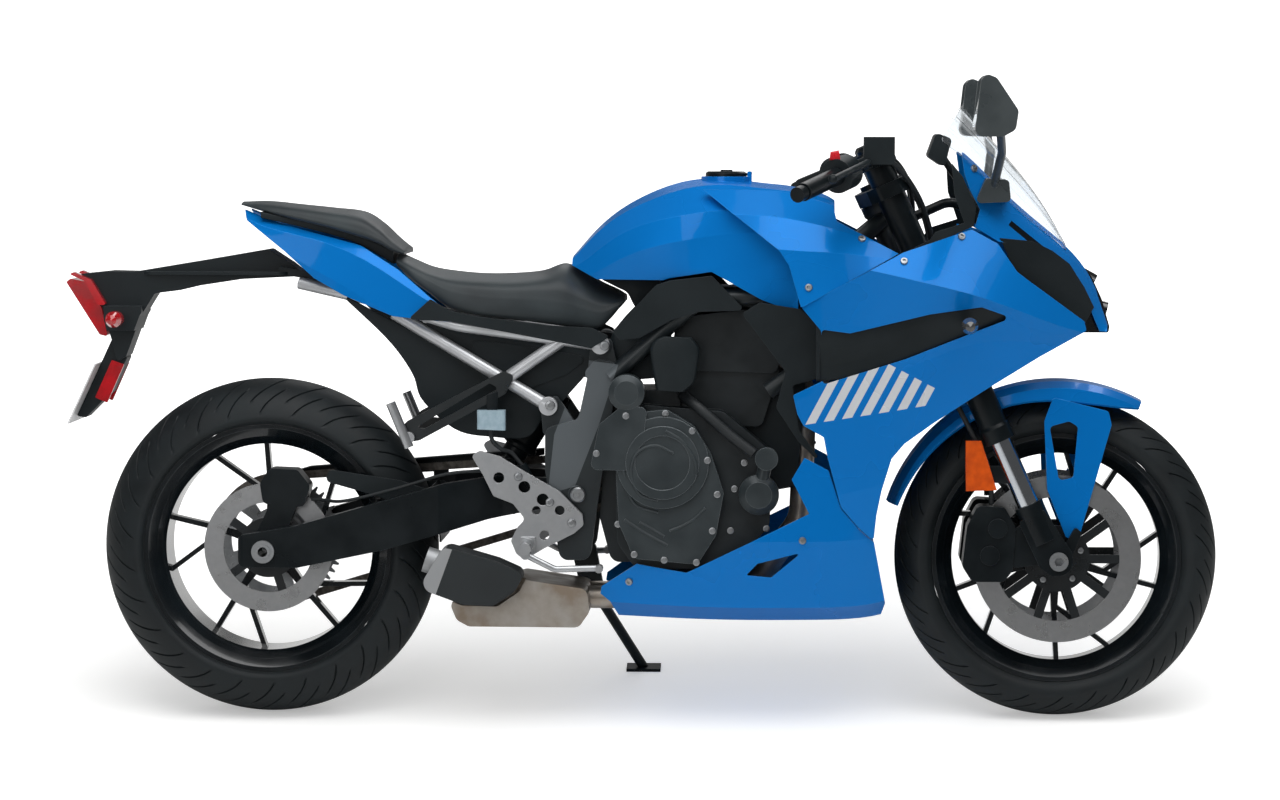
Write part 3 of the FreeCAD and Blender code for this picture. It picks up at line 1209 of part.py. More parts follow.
FAIRING_OUTLINE = ((990, 770), (1175, 869), (1300, 910), (1348, 884), (1383, 833), (1407, 815), (1509, 741), (1513, 724),
                   (1425, 676), (1323, 614), (1233, 557), (1179, 519), (1156, 492), (1138, 433), (1129, 388),
                   (1124, 340), (1098, 363), (1064, 403), (1039, 495), (1032, 532), (995, 553), (984, 574),
                   (976, 609), (1040, 640), (1026, 727))
FAIRING_OPENING = ((1027, 729), (1079, 722), (1223, 757), (1317, 770), (1373, 750), (1180, 675), (1097, 649),
                   (1030, 628))


def make_side_fairings():
    """Creased side fairings, with the opening that lets the air past the engine."""
    stations = (
        (940, ((165, 905), (205, 858), (205, 740), (200, 600), (185, 400), (150, 180))),
        (1040, ((180, 905), (224, 846), (214, 735), (205, 620), (190, 420), (155, 180))),
        (1120, ((178, 908), (234, 836), (216, 735), (203, 640), (186, 440), (150, 180))),
        (1200, ((180, 918), (238, 818), (216, 745), (196, 665), (170, 480), (150, 300))),
        (1300, ((160, 928), (225, 793), (205, 760), (180, 700), (150, 560), (140, 400))),
        (1400, ((140, 905), (190, 757), (178, 735), (160, 705), (135, 620), (120, 500))),
        (1480, ((110, 850), (145, 728), (138, 716), (128, 700), (110, 660), (100, 600))),
        (1530, ((80, 800), (112, 708), (106, 700), (100, 690), (90, 660), (85, 620))))
    right = skin(stations, WALL, FRONT.x)
    right = clip(right, FAIRING_OUTLINE, FRONT, 4)
    right = right.cut(plate(side_points(FAIRING_OPENING, FRONT), -600, 0, 6))
    return feature("side_fairings", both_sides(right))


side_fairings = make_side_fairings()


def make_tank_shrouds():
    """Side shrouds ahead of the tank and the black cover behind the fork."""
    right = skin((
        (800, ((112, 990), (164, 944), (170, 892), (168, 840))),
        (880, ((110, 986), (166, 936), (182, 884), (190, 830))),
        (970, ((104, 974), (158, 928), (190, 872), (216, 770))),
        (1050, ((108, 952), (168, 910), (204, 868), (222, 790))),
        (1110, ((120, 926), (172, 892), (200, 862), (219, 815))),
        (1175, ((150, 880), (180, 870), (200, 858), (214, 840)))), WALL)
    right = clip(right, ((810, 981), (889, 981), (974, 977), (1040, 959), (1048, 953), (1055, 924), (1167, 866),
                         (990, 768), (968, 844), (950, 871)), FRONT).cut(side_fairings.Shape)
    cover = solid_loft((
        (985.4, ((0, 980), (70, 974), (106, 944), (106, 900))),
        (1030, ((0, 972), (50, 966), (76, 940), (80, 905))),
        (1052, ((0, 960), (34, 955), (50, 938), (54, 915)))), FRONT.x)
    feature("tank_shrouds", Part.Compound([both_sides(right), cover]))


make_tank_shrouds()


def make_nose():
    """Nose cowl either side of the lamp, below the edge of the screen."""
    right = skin((
        (1280, ((126, 1053), (136, 1010), (160, 950), (174, 895))),
        (1330, ((93, 1008), (120, 965), (150, 915), (166, 868))),
        (1400, ((64, 943), (95, 915), (126, 882), (150, 848))),
        (1472, ((38, 883), (62, 868), (95, 840), (116, 805))),
        (1521, ((28, 826), (40, 815), (65, 780), (84, 730))),
        (1557, ((25.5, 740), (34, 735), (52, 725), (62, 715)))), WALL, FRONT.x)
    right = clip(right, ((1282, 1049), (1290, 1052), (1474, 885), (1530, 826), (1539, 785), (1557, 733), (1555, 719),
                         (1541, 720), (1532, 740), (1507, 799), (1479, 838), (1448, 862), (1413, 880), (1350, 887),
                         (1306, 914), (1316, 946), (1298, 981), (1288, 1009)), FRONT)
    lamp_room = plate(side_points(((1400, 700), (1600, 700), (1600, 960), (1400, 960)), FRONT), -LAMP_HALF, LAMP_HALF)
    return feature("nose_cowl", both_sides(right.cut(lamp_room)))


LAMP_HALF = 25.3
nose_cowl = make_nose()


def make_inner_panels():
    """Black panels behind the fairing openings, beside the radiator and beside the lamp."""
    opening = skin((
        (1014, ((208, 742), (200, 690), (196, 660), (196, 626))),
        (1079, ((210, 742), (206, 700), (201, 670), (198, 630))),
        (1180, ((211, 765), (206, 730), (201, 700), (193, 655))),
        (1300, ((206, 782), (200, 765), (188, 735), (175, 700))),
        (1392, ((184, 765), (181, 756), (178, 746), (172, 730)))), WALL, FRONT.x)
    opening = clip(opening, ((1018, 738), (1079, 731), (1223, 766), (1317, 779), (1388, 757), (1378, 744), (1180, 667),
                             (1097, 641), (1018, 634)), FRONT).cut(side_fairings.Shape)
    side = -RADIATOR_HALF - sheet.seat_gap
    beside = plate(side_points(((882, 756), (915, 776), (990, 764), (1024, 734), (1024, 638), (975, 625), (987, 543),
                                (1039, 471), (987, 520), (945, 584), (962, 650)), FRONT), side, side - WALL, 6)
    rest = plate(side_points(((1018, 638), (1024, 638), (1024, 734), (1018, 734)), FRONT), side, -203)
    recess = skin((
        (1345, ((151, 905), (149, 850), (147, 810), (145, 780))),
        (1413, ((134, 895), (131, 850), (127, 815), (125, 780))),
        (1479, ((108, 870), (104, 830), (100, 790), (98, 730))),
        (1530, ((74, 810), (72, 780), (70, 750), (68, 722)))), WALL, FRONT.x)
    recess = clip(recess, ((1352, 894), (1413, 888), (1450, 870), (1482, 846), (1511, 802), (1530, 765), (1512, 734),
                           (1405, 810), (1380, 834)), FRONT).cut([side_fairings.Shape, nose_cowl.Shape])
    trim = skin((
        (1150, ((181, 905), (183, 890), (184, 870), (185, 850))),
        (1230, ((169, 960), (173, 930), (177, 900), (181, 870))),
        (1268, ((147, 1040), (159, 990), (169, 940), (177, 900))),
        (1310, ((131, 1040), (145, 985), (159, 940), (167, 900)))), WALL, FRONT.x)
    trim = clip(trim, ((1264, 1030), (1284, 1006), (1308, 951), (1304, 916), (1178, 862), (1157, 858), (1224, 891),
                       (1233, 905), (1286, 922), (1268, 974)), FRONT).cut([side_fairings.Shape, nose_cowl.Shape])
    return feature("inner_panels", Part.Compound([both_sides(opening.fuse([beside, rest])), both_sides(recess),
                                           both_sides(trim)]))


RADIATOR_HALF = 168
inner_panels = make_inner_panels()


def make_headlight():
    """Stacked lamps in a narrow housing in the middle of the nose."""
    outline = ((1430, 886), (1478, 878), (1528, 820), (1547, 779), (1562, 727), (1560, 716), (1500, 716), (1430, 800))
    half = LAMP_HALF - sheet.seat_gap
    housing = plate(side_points(outline, FRONT), -half, half, 4)
    lamp = rod(FRONT + V(1478, 0, 836), FRONT + V(1532, 0, 806), 18)
    lower = rod(FRONT + V(1500, 0, 772), FRONT + V(1558, 0, 757), 15)
    return feature("headlight", housing.fuse([lamp, lower]))


headlight = make_headlight()


def make_screen():
    """Bubble windscreen, an arch standing on the cowl's upper edges."""
    arches = []
    for x, half, base, crown in ((1236, 152, 1078, 1172), (1285, 128.6, 1041, 1137), (1335, 100, 996, 1082),
                                 (1400, 78, 935, 1006), (1455, 59, 891, 926), (1479, 52, 869, 882)):
        rise = crown - base
        right = [(half, base), (0.94 * half, base + 0.35 * rise), (0.78 * half, base + 0.66 * rise),
                 (0.48 * half, base + 0.91 * rise)]
        points = [V(x, share, height) for share, height in right] + [V(x, 0, crown)]
        points += [V(x, -share, height) for share, height in reversed(right)]
        arches.append(band([FRONT + point for point in points], sheet.screen_wall))
    shape = Part.makeLoft(arches, True, False)
    outline = ((1249, 1060), (1246, 1076), (1288, 1138), (1500, 1138), (1500, 860), (1474, 872), (1400, 932),
               (1330, 997), (1286, 1038), (1264, 1034))
    return feature("windscreen", clip(shape, outline, FRONT).cut(nose_cowl.Shape))


windscreen = make_screen()


def make_nose_bracket():
    """Tube frame on the head tube that carries the nose, the fairings, the mirrors and the dash."""
    head = rod(steer(HEAD_START - 40), steer(HEAD_END + 40), sheet.head_tube_radius + 4 + sheet.seat_gap)
    middle = FRONT + V(1340, 0, 905)
    spine = tube([steer(684, 20), steer(684, 130), middle, FRONT + V(1446, 0, 850)], 9, 40)
    post = rod(middle, FRONT + V(1345, 0, 972), 7)
    bar = rod(FRONT + V(1345, -140, 972), FRONT + V(1345, 140, 972), 7)
    stays = rod(FRONT + V(1372, -230, 795), FRONT + V(1372, 230, 795), 6)
    drop = rod(FRONT + V(1372, 0, 795), FRONT + V(1380, 0, 885), 7)
    dash_arm = tube([middle, FRONT + V(1290, 0, 985), FRONT + V(1244, 0, 1052)], 7, 40)
    tubes = spine.fuse([post, bar, stays, drop, dash_arm])
    shell = clip(tubes, ((1000, 600), (1600, 600), (1600, 1200), (1000, 1200)), FRONT)
    neighbours = [head, nose_cowl.Shape, side_fairings.Shape, inner_panels.Shape, headlight.Shape, dash.Shape]
    pieces = shell.cut(neighbours).Solids
    return feature("nose_bracket", max(pieces, key=lambda piece: piece.Volume))


def make_dash():
    """Instrument behind the screen."""
    pod = plate(side_points(((1222, 1042), (1238, 1086), (1266, 1074), (1254, 1020)), FRONT), -72, 72, 8)
    return feature("dash_panel", pod)


dash = make_dash()
make_nose_bracket()


def make_signals():
    """Front signals on their stalks."""
    parts = []
    for side in (-1, 1):
        base = FRONT + V(1294, side * 192.4, 738)
        stalk = rod(base, base + ACROSS * side * 30, 7)
        lump = lathe(((0, 0), (9, 0), (15, 12), (15, 40), (9, 62), (0, 68)), base + ACROSS * side * 24, ACROSS * side)
        parts.append(stalk.fuse(lump).cut(inner_panels.Shape))
    feature("front_signals", Part.Compound(parts))


make_signals()


def make_mirrors():
    """Mirrors on stems that stand on the cowl."""
    foot = plate(side_points(((1306, 957), (1372, 960), (1368, 1000), (1326, 1003)), FRONT), -60, -152, 8)
    under = solid_loft(((1290, ((0, 1040), (124, 1041), (150, 960), (160, 900))),
                        (1330, ((0, 1008), (94, 1008), (121.5, 965), (151.5, 914))),
                        (1400, ((0, 943), (66, 943), (96.5, 915), (127.5, 882)))), FRONT.x)
    foot = foot.cut([under, nose_cowl.Shape, windscreen.Shape])
    foot = max(foot.Solids, key=lambda piece: piece.Volume)
    stem = tube([FRONT + V(1340, -140, 985), FRONT + V(1352, -210, 1050), FRONT + V(1345, -290, 1092)], 8, 40)
    outline = ((1294, 1079), (1345, 1079), (1367, 1091), (1372, 1125), (1333, 1183), (1315, 1190), (1305, 1178))
    head = plate(side_points(outline, FRONT), -262, -400, 14)
    hollow = plate(side_points(((1250, 1060), (1296, 1092), (1310, 1172), (1312, 1200), (1250, 1200)), FRONT), -270, -392)
    right = stem.fuse([head.cut(hollow), foot])
    feature("mirrors", both_sides(right))


make_mirrors()


def make_belly_pan():
    """Belly pan round the sump, open at the top."""
    sections = []
    for x, share, low in ((600, 0.72, 190), (700, 0.92, 188), (820, 1, 184), (940, 1, 183), (1040, 0.98, 184),
                          (1110, 0.9, 188), (1150, 0.8, 196)):
        sections.append((x, [(share * half, low + rise) for half, rise in
                             ((196, 316), (190, 156), (154, 31), (95, 2), (-8, 0))]))
    right = skin(sections, WALL)
    right = clip(right, ((624, 250), (690, 295), (782, 280), (1006, 391), (974, 454), (997, 494), (1041, 471),
                         (1064, 400), (1099, 360), (1125, 337), (1147, 220), (1133, 170), (664, 170), (640, 222), (622, 236)), corner=2)
    slot = plate(side_points(((891, 276), (912, 298), (992, 319), (937, 272))), -600, -100, 2)
    right = right.cut(slot)
    feature("belly_pan", right.fuse(other_side(right)))


make_belly_pan()


def make_radiator():
    """Radiator with its side tanks ahead of the engine."""
    centre_high = V(1098, 0, 690)
    centre_low = V(1060, 0, 480)
    run = centre_high - centre_low
    core = Part.makeBox(38, 2 * RADIATOR_HALF - 36, run.Length, V(-19, 18 - RADIATOR_HALF, 0))
    tanks = [Part.makeBox(44, 24, run.Length - 10, V(-22, -12 + side * (RADIATOR_HALF - 12), 5)) for side in (-1, 1)]
    whole = core.fuse(tanks)
    whole.Placement = FreeCAD.Placement(centre_low + FRONT, FreeCAD.Rotation(V(0, 0, 1), run))
    tabs = [Part.makeBox(40, 12, 8, FRONT + V(1053.2, -6 + side * 158, 686)) for side in (-1, 1)]
    feature("radiator", whole.fuse(tabs))


make_radiator()


def make_footrests():
    """Rider's brackets with pegs, lever and guard, and the folded passenger pegs on their hangers."""
    outline = ((385, 493), (401, 501), (438, 491), (484, 463), (548, 427), (590, 385), (592, 365), (575, 350),
               (520, 322), (483, 300), (468, 312), (458, 336), (470, 360), (484, 375), (474, 389), (462, 404),
               (426, 418), (408, 455))
    near = -(PLATE_OUTER + 8 + sheet.seat_gap)
    far = near - 10
    holes = []
    for x, z, size in ((483, 435, 11), (517, 412, 11), (505, 392, 8), (548, 392, 9), (520, 346, 9), (436, 452, 10)):
        holes.append(rod(V(x, near + 2, z), V(x, far - 2, z), size))
    bracket = plate(side_points(outline), near, far, 8).cut(holes)
    radius = sheet.peg_radius
    peg = rod(V(490, far + 4, 330), V(490, far - 98, 330), radius)
    hinge = Part.makeBox(26, 20, 26, V(477, far - 12, 317))
    lever = tube([V(486, far - 18, 312), V(540, far - 18, 285), V(628, far - 18, 288)], 6, 20)
    toe = rod(V(622, far - 12, 288), V(622, far - 46, 288), 7)
    hanger = plate(side_points(((444, 648), (466, 640), (448, 606), (290, 520), (262, 516), (252, 540), (268, 556))),
                   -(sheet.subframe_half_width + sheet.subframe_tube_radius + sheet.seat_gap), -152, 10)
    window = plate(side_points(((436, 616), (300, 542), (284, 544), (420, 626))), -100, -200, 4)
    folded = rod(V(238, -163, 590), V(272, -163, 508), radius - 2)
    joint = rod(V(272, -147, 526), V(272, -166, 526), 10)
    lever_pin = rod(V(486, near + 1, 312), V(486, far - 26, 312), 9)
    right = bracket.fuse([peg, hinge, lever, toe, lever_pin])
    passenger = hanger.cut(window).fuse([folded, joint])
    feature("footrests", Part.Compound([both_sides(right), both_sides(passenger)]))


make_footrests()


def make_chain_guard():
    """Guard along the chain's upper run, and the hugger ahead of the tyre."""
    run = ((40, 446), (60, 452), (505, 488), (505, 485), (60, 449), (44, 443))
    skirt = ((40, 446), (60, 452), (505, 488), (505, 474), (330, 450), (300, 442), (60, 428))
    lug = ((294, 428.6), (322, 436.8), (322, 452), (294, 448))
    top_strip = plate(side_points(run), sheet.chain_offset - 9, sheet.arm_inner - 1)
    side_strip = plate(side_points(skirt), sheet.arm_inner - 4, sheet.arm_inner - 1)
    foot = plate(side_points(lug), sheet.arm_inner - 4, sheet.arm_inner + 10)
    guard = top_strip.fuse([side_strip, foot])
    near = sheet.rear_tyre_width / 2 + 8
    cheek = plate(side_points(((110, 440), (118, 462), (250, 442), (318, 420), (330, 390), (300, 380), (200, 415))),
                  -near, -near - 3, 10)
    tab = Part.makeBox(24, sheet.arm_inner - near - sheet.seat_gap, 20,
                       V(294, sheet.seat_gap - sheet.arm_inner, 398))
    inner = sheet.rear_tyre_radius + 10
    sector = plate([REAR_AXLE, REAR_AXLE + V(400, 0, 18), REAR_AXLE + V(400, 0, 150)], -near - 3, near + 3)
    arch = Part.makeCylinder(inner + 3, 2 * near + 6, REAR_AXLE - ACROSS * (near + 3), ACROSS)
    arch = arch.cut(Part.makeCylinder(inner, 2 * near + 6, REAR_AXLE - ACROSS * (near + 3), ACROSS)).common(sector)
    left_cheek = plate(side_points(((236, 424), (318, 426), (330, 390), (300, 380), (236, 400))), near, near + 3, 8)
    hugger = arch.fuse([cheek, tab, left_cheek, other_side(tab)])
    feature("chain_guard", Part.Compound([guard, hugger]))


make_chain_guard()

# Lean the finished bike, and set the middle of its ground plan on the origin
def place_all():
    """Give every piece the parked lean and the shift to the origin."""
    crown = sheet.rear_tyre_width / 2 + sheet.crown_margin
    lift = crown * (1 - math.cos(math.radians(sheet.lean_angle)))
    lean = FreeCAD.Placement(V(0, 0, lift), FreeCAD.Rotation(V(1, 0, 0), -sheet.lean_angle))
    for node in sub_parts:
        node.Placement = lean.multiply(node.Placement)
    doc.recompute()
    box = FreeCAD.BoundBox()
    for node in sub_parts:
        box.add(node.Shape.optimalBoundingBox(True))
    shift = FreeCAD.Placement(V(-box.Center.x, -box.Center.y, 0), FreeCAD.Rotation())
    for node in sub_parts:
        node.Placement = shift.multiply(node.Placement)
    doc.recompute()
    return shift.multiply(lean)


PARKED = place_all()
for item in doc.Objects:
    if "Invalid" in item.State or "Error" in item.State:
        raise RuntimeError(f"{item.Name} is {item.State}")
for node in sub_parts:
    if node.Shape.isNull() or not node.Shape.isValid():
        raise RuntimeError(f"{node.Label} has no valid shape")
    node.Shape.exportStep(f"parts/{node.Label}.step")
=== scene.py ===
"""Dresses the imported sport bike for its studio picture."""

import json
import math
from functools import partial

import bmesh
import bpy
import numpy as np
from bpy.props import FloatProperty, FloatVectorProperty, IntProperty, PointerProperty
from mathutils import Matrix


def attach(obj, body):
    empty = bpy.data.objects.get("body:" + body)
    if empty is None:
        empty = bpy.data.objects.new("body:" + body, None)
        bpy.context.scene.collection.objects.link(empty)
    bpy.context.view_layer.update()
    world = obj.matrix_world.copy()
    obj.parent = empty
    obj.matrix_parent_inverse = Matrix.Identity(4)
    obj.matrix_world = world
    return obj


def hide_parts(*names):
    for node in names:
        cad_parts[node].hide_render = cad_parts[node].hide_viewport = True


bl_info = {
    "name": "Sport bike",
    "version": (1, 0, 0),
    "blender": (4, 5, 0),
    "location": "View3D > Sidebar > Bike",
    "description": "Finishes, tyres, saddles, panels, hoses, screws and studio for a parked sport bike",
    "category": "Object",
}

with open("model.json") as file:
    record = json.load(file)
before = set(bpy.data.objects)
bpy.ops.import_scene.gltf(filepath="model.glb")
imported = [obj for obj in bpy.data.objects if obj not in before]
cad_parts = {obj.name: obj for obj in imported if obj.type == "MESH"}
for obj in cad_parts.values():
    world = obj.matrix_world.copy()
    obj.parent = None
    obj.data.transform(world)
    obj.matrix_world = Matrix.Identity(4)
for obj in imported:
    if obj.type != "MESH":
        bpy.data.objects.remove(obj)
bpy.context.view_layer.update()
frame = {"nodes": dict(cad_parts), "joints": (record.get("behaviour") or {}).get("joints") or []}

# The bike's own axes, from the rear wheel's joint: x ahead, y to its left, z up the leaning middle
REAR_RADIUS = 313.0
FRONT_RADIUS = 299.0
WHEELBASE = 1465.0
REAR_SPIN = next(joint for joint in frame["joints"] if joint["name"] == "rear_wheel_spin")
AHEAD = np.array((1.0, 0.0, 0.0))
LEFT = np.array(REAR_SPIN["axis"])
LEFT = LEFT / np.linalg.norm(LEFT)
UP = np.cross(AHEAD, LEFT)
GROUND = np.array(REAR_SPIN["pos_m"]) - UP * REAR_RADIUS / 1000
LEAN = math.atan2(LEFT[2], LEFT[1])
AXES = np.array((AHEAD, LEFT, UP)) / 1000

MATERIALS = {}


def park(points):
    """Points in the bike's millimetres, put where the leaning bike stands, in metres."""
    return GROUND + np.asarray(points, float) @ AXES


def linear(code):
    """The linear colour of an sRGB hex code: up to 0.04045 divided by 12.92, above it a power of 2.4."""
    parts = np.array([int(code[place:place + 2], 16) for place in (1, 3, 5)]) / 255
    low = parts / 12.92
    high = ((parts + 0.055) / 1.055) ** 2.4
    return tuple(np.where(parts <= 0.04045, low, high))


def opaque(tint):
    """What a colour socket takes, from a hex code or a colour that is linear already."""
    return (*(linear(tint) if isinstance(tint, str) else tint), 1)


def colour(name, code):
    """A colour that a user can change."""
    return FloatVectorProperty(name=name, description=f"Colour of the {name.lower()}", subtype="COLOR",
                               default=linear(code), min=0, max=1)


def length(name, description, default):
    """A length in millimetres that a user can change."""
    return FloatProperty(name=name, description=description, default=default, min=0)


class BikeColours(bpy.types.PropertyGroup):
    """Colours of the finishes."""

    paint: colour("Paint", "#0674C6")
    stripe: colour("Stripe", "#D5D8DC")
    plastic: colour("Plastic", "#151C1F")
    engine: colour("Engine", "#141A1D")
    covers: colour("Covers", "#2B3235")
    frame_metal: colour("Frame", "#1E2427")
    silver: colour("Silver", "#C4C6C9")
    leather: colour("Saddle cover", "#262C2F")
    rubber: colour("Rubber", "#0F1518")


class BikeSizes(bpy.types.PropertyGroup):
    """Sizes of the dressed pieces, in millimetres."""

    groove_depth: length("Groove depth", "Depth of the tread grooves", 3.0)
    grooves: IntProperty(name="Grooves", description="Grooves round a tyre, each side", default=26, min=8, max=60)
    seam: length("Seam", "Depth of the saddle's welted seam", 1.3)
    screw: length("Screw", "Radius of a panel screw's head", 7.0)
    lens: FloatProperty(name="Camera lens", description="Focal length of the camera", default=120.17, unit="CAMERA")


# Shapes
def unit(vectors):
    """The same directions with a length of 1."""
    return vectors / np.linalg.norm(vectors, axis=-1, keepdims=True)


def drawn_in(rings):
    """Rows of a tube between two more rows, each drawn in to the middle of its end, which close it."""
    ends = [np.broadcast_to(row.mean(1, keepdims=True), row.shape) for row in (rings[:1], rings[-1:])]
    return np.concatenate((ends[0], rings, ends[1]))


def curve_through(points, count, closed=False):
    """Smooth rows through given rows: a cubic from each row to the next, whose slope at a row is half the step
    between its two neighbours."""
    points = np.asarray(points, float)
    size = len(points)
    place = np.linspace(0, size if closed else size - 1, count, endpoint=not closed)
    cell = np.minimum(np.floor(place).astype(int), size - 1 if closed else size - 2)
    part = (place - cell).reshape((-1,) + (1,) * (points.ndim - 1))
    if closed:
        four = [points[(cell + step) % size] for step in (-1, 0, 1, 2)]
    else:
        ends = np.concatenate((points[:1] * 2 - points[1:2], points, points[-1:] * 2 - points[-2:-1]))
        four = [ends[cell + step] for step in (0, 1, 2, 3)]
    before, here, after, beyond = four
    return here + 0.5 * part * (after - before + part * (
        2 * before - 5 * here + 4 * after - beyond + part * (3 * (here - after) + beyond - before)))


def grid_faces(rows, columns, round_rows, start):
    """Quads between neighbouring rows and columns of a grid. Its columns close round, and its rows if asked."""
    row, column = np.meshgrid(np.arange(rows if round_rows else rows - 1), np.arange(columns), indexing="ij")
    next_row, next_column = (row + 1) % rows, (column + 1) % columns
    corners = (row * columns + column, next_row * columns + column,
               next_row * columns + next_column, row * columns + next_column)
    return np.stack(corners, -1).reshape(-1, 4) + start


def piece(name, grids, look, body="chassis", smooth=40, round_rows=False):
    """One object of several grids of points in the bike's millimetres: doubles are merged, faces point outwards,
    and edges that turn by less than an angle are shaded smooth."""
    faces, start = [], 0
    for points in grids:
        faces.append(grid_faces(*points.shape[:2], round_rows, start))
        start += points.shape[0] * points.shape[1]
    spots = park(np.concatenate([points.reshape(-1, 3) for points in grids]))
    mesh = bpy.data.meshes.new(name)
    mesh.from_pydata(spots, [], np.concatenate(faces))
    edit = bmesh.new()
    edit.from_mesh(mesh)
    bmesh.ops.remove_doubles(edit, verts=edit.verts, dist=2e-6)
    bmesh.ops.dissolve_degenerate(edit, edges=edit.edges, dist=1e-7)
    bmesh.ops.recalc_face_normals(edit, faces=edit.faces)
    edit.to_mesh(mesh)
    edit.free()
    mesh.shade_smooth()
    mesh.set_sharp_from_angle(angle=math.radians(smooth))
    mesh.materials.append(MATERIALS[look])
    made = bpy.data.objects.new(name, mesh)
    bpy.context.scene.collection.objects.link(made)
    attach(made, body)
    return made


def hose(points, radius, count, sides=14):
    """A round tube on a smooth curve through points: each row is a circle square to the curve, and the end rows
    are drawn in to a point."""
    path = curve_through(points, count)
    run = unit(np.gradient(path, axis=0))
    along_no_hose = np.array((0.31, 0.87, 0.38))
    side = unit(np.cross(run, along_no_hose))
    rise = np.cross(run, side)
    angle = np.linspace(0, 2 * math.pi, sides, endpoint=False)
    ring = np.cos(angle)[None, :, None] * side[:, None] + np.sin(angle)[None, :, None] * rise[:, None]
    return drawn_in(path[:, None] + radius * ring)


def mirrored(points):
    """The same points on the bike's other side."""
    return points * np.array((1, -1, 1))


def slab(lower, upper, near, far, rows=40, edge=1.5):
    """A plate between two curves of the side view and two distances across the bike: each section is a rectangle
    whose corners are quarter circles, and the two ends are flat."""
    lower, upper = (curve_through(line, rows) for line in (lower, upper))
    middle, rise = (lower + upper) / 2, (upper - lower) / 2
    tall = np.linalg.norm(rise, axis=1)[:, None]
    rise = rise / tall
    angle = (np.linspace(0, math.pi / 2, 4)[None] + np.arange(4)[:, None] * math.pi / 2).reshape(-1)
    corner = np.repeat(np.array(((1, 1), (-1, 1), (-1, -1), (1, -1))), 4, 0)
    half = abs(far - near) / 2
    roundest = 0.98
    ease = min(edge, half * roundest, float(tall.min()) * roundest)
    up = corner[:, 0] * (tall - ease) + ease * np.cos(angle)
    out = corner[:, 1] * (half - ease) + ease * np.sin(angle)
    flat = middle[:, None] + up[..., None] * rise[:, None]
    ring = np.stack((flat[..., 0], np.broadcast_to((near + far) / 2 + out, up.shape), flat[..., 1]), -1)
    return drawn_in(ring)


def on_surface(nodes, x, z, sink=0.0):
    """The outermost spot on the right of some nodes at a place of the side view, and the way out of it there."""
    start = park((x, -700.0, z))
    hits = [frame["nodes"][node].ray_cast(start, LEFT) for node in nodes]
    hits = [(np.linalg.norm(np.array(spot) - start), spot, out) for found, spot, out, _ in hits if found]
    if not hits:
        raise RuntimeError(f"{nodes} have nothing at {x}, {z}")
    _, spot, out = min(hits, key=lambda hit: hit[0])
    out = np.array(out) @ AXES.T * 1000
    return (np.array(spot) - GROUND) @ AXES.T * 1e6 - sink * out, out


# Materials
# The noise between which the two colours blend, the noise that sways the roughness, and how far a rounded edge
# has turned (cosine) where its painted highlight starts and where it is full
BLEND_RANGE = {"From Min": 0.35, "From Max": 0.65}
SWAY_RANGE = {"From Min": 0.3, "From Max": 0.7}
EDGE_RANGE = {"From Min": 0.995, "From Max": 0.8}
SMOOTHEST = 0.02


def add_node(tree, kind, links=None, **settings):
    """One node with its settings; each of links is a value for an input or the socket that feeds it."""
    made = tree.nodes.new(kind)
    for name, value in settings.items():
        setattr(made, name, value)
    for key, value in (links or {}).items():
        socket = made.inputs[key]
        if isinstance(value, bpy.types.NodeSocket):
            tree.links.new(value, socket)
        else:
            socket.default_value = value
    return made


def emptied(owner):
    """A material's or world's node tree with nothing in it, as the adder of its nodes."""
    owner.use_nodes = True
    owner.node_tree.nodes.clear()
    return partial(add_node, owner.node_tree)


def finish(name, base, accent, values, patch, roughness, sway=0.1, metallic=0.0, grain=1.0, height=0.0, edge=0.0,
           edge_highlight_tint="#8A8C8E", soft=0.0):
    """A material in the bike's millimetres: clouds of two colours, which also sway the roughness, a fine bump,
    and rounded edges that take a share of a lighter colour where the rounding turns the normal: a painted highlight
    along the edges."""
    material = bpy.data.materials.new(name)
    add = emptied(material)
    place = add("ShaderNodeTexCoord").outputs["Object"]
    own = add("ShaderNodeMapping", {"Vector": place, "Location": tuple(GROUND), "Rotation": (LEAN, 0, 0),
                                    "Scale": (0.001, 0.001, 0.001)}, vector_type="TEXTURE",
              name="millimetres").outputs[0]
    cloud = add("ShaderNodeTexNoise", {"Vector": own, "Scale": 1 / patch, "Detail": 4.0}).outputs[0]
    blend = add("ShaderNodeMapRange", {"Value": cloud, **BLEND_RANGE}).outputs[0]
    tint = add("ShaderNodeMix", {0: blend, 6: opaque(base), 7: opaque(accent)}, data_type="RGBA").outputs[2]
    normal = {}
    if soft:
        normal = {"Normal": add("ShaderNodeBevel", {"Radius": soft / 1000}, samples=4).outputs[0]}
    # Painted highlight: a lighter colour mixed in along edges, where the bevelled normal turns from the true one
    if edge and soft:
        true = add("ShaderNodeNewGeometry").outputs["Normal"]
        turn = add("ShaderNodeVectorMath", {0: normal["Normal"], 1: true}, operation="DOT_PRODUCT").outputs["Value"]
        edge_highlight = add("ShaderNodeMapRange", {"Value": turn, "To Max": edge, **EDGE_RANGE})
        tint = add("ShaderNodeMix", {0: edge_highlight.outputs[0], 6: tint, 7: opaque(edge_highlight_tint)}, data_type="RGBA").outputs[2]
    if height:
        fine = add("ShaderNodeTexNoise", {"Vector": own, "Scale": 1 / grain, "Detail": 2.0}).outputs[0]
        bump = add("ShaderNodeBump", {"Height": fine, "Strength": 1.0, "Distance": height / 1000, **normal})
        normal = {"Normal": bump.outputs[0]}
    gloss = add("ShaderNodeMapRange", {"Value": cloud, "To Min": max(SMOOTHEST, roughness - sway),
                                       "To Max": roughness + sway, **SWAY_RANGE})
    shader = add("ShaderNodeBsdfPrincipled", {"Metallic": metallic, **values, "Base Color": tint,
                                              "Roughness": gloss.outputs[0], **normal})
    add("ShaderNodeOutputMaterial", {0: shader.outputs[0]})
    return material


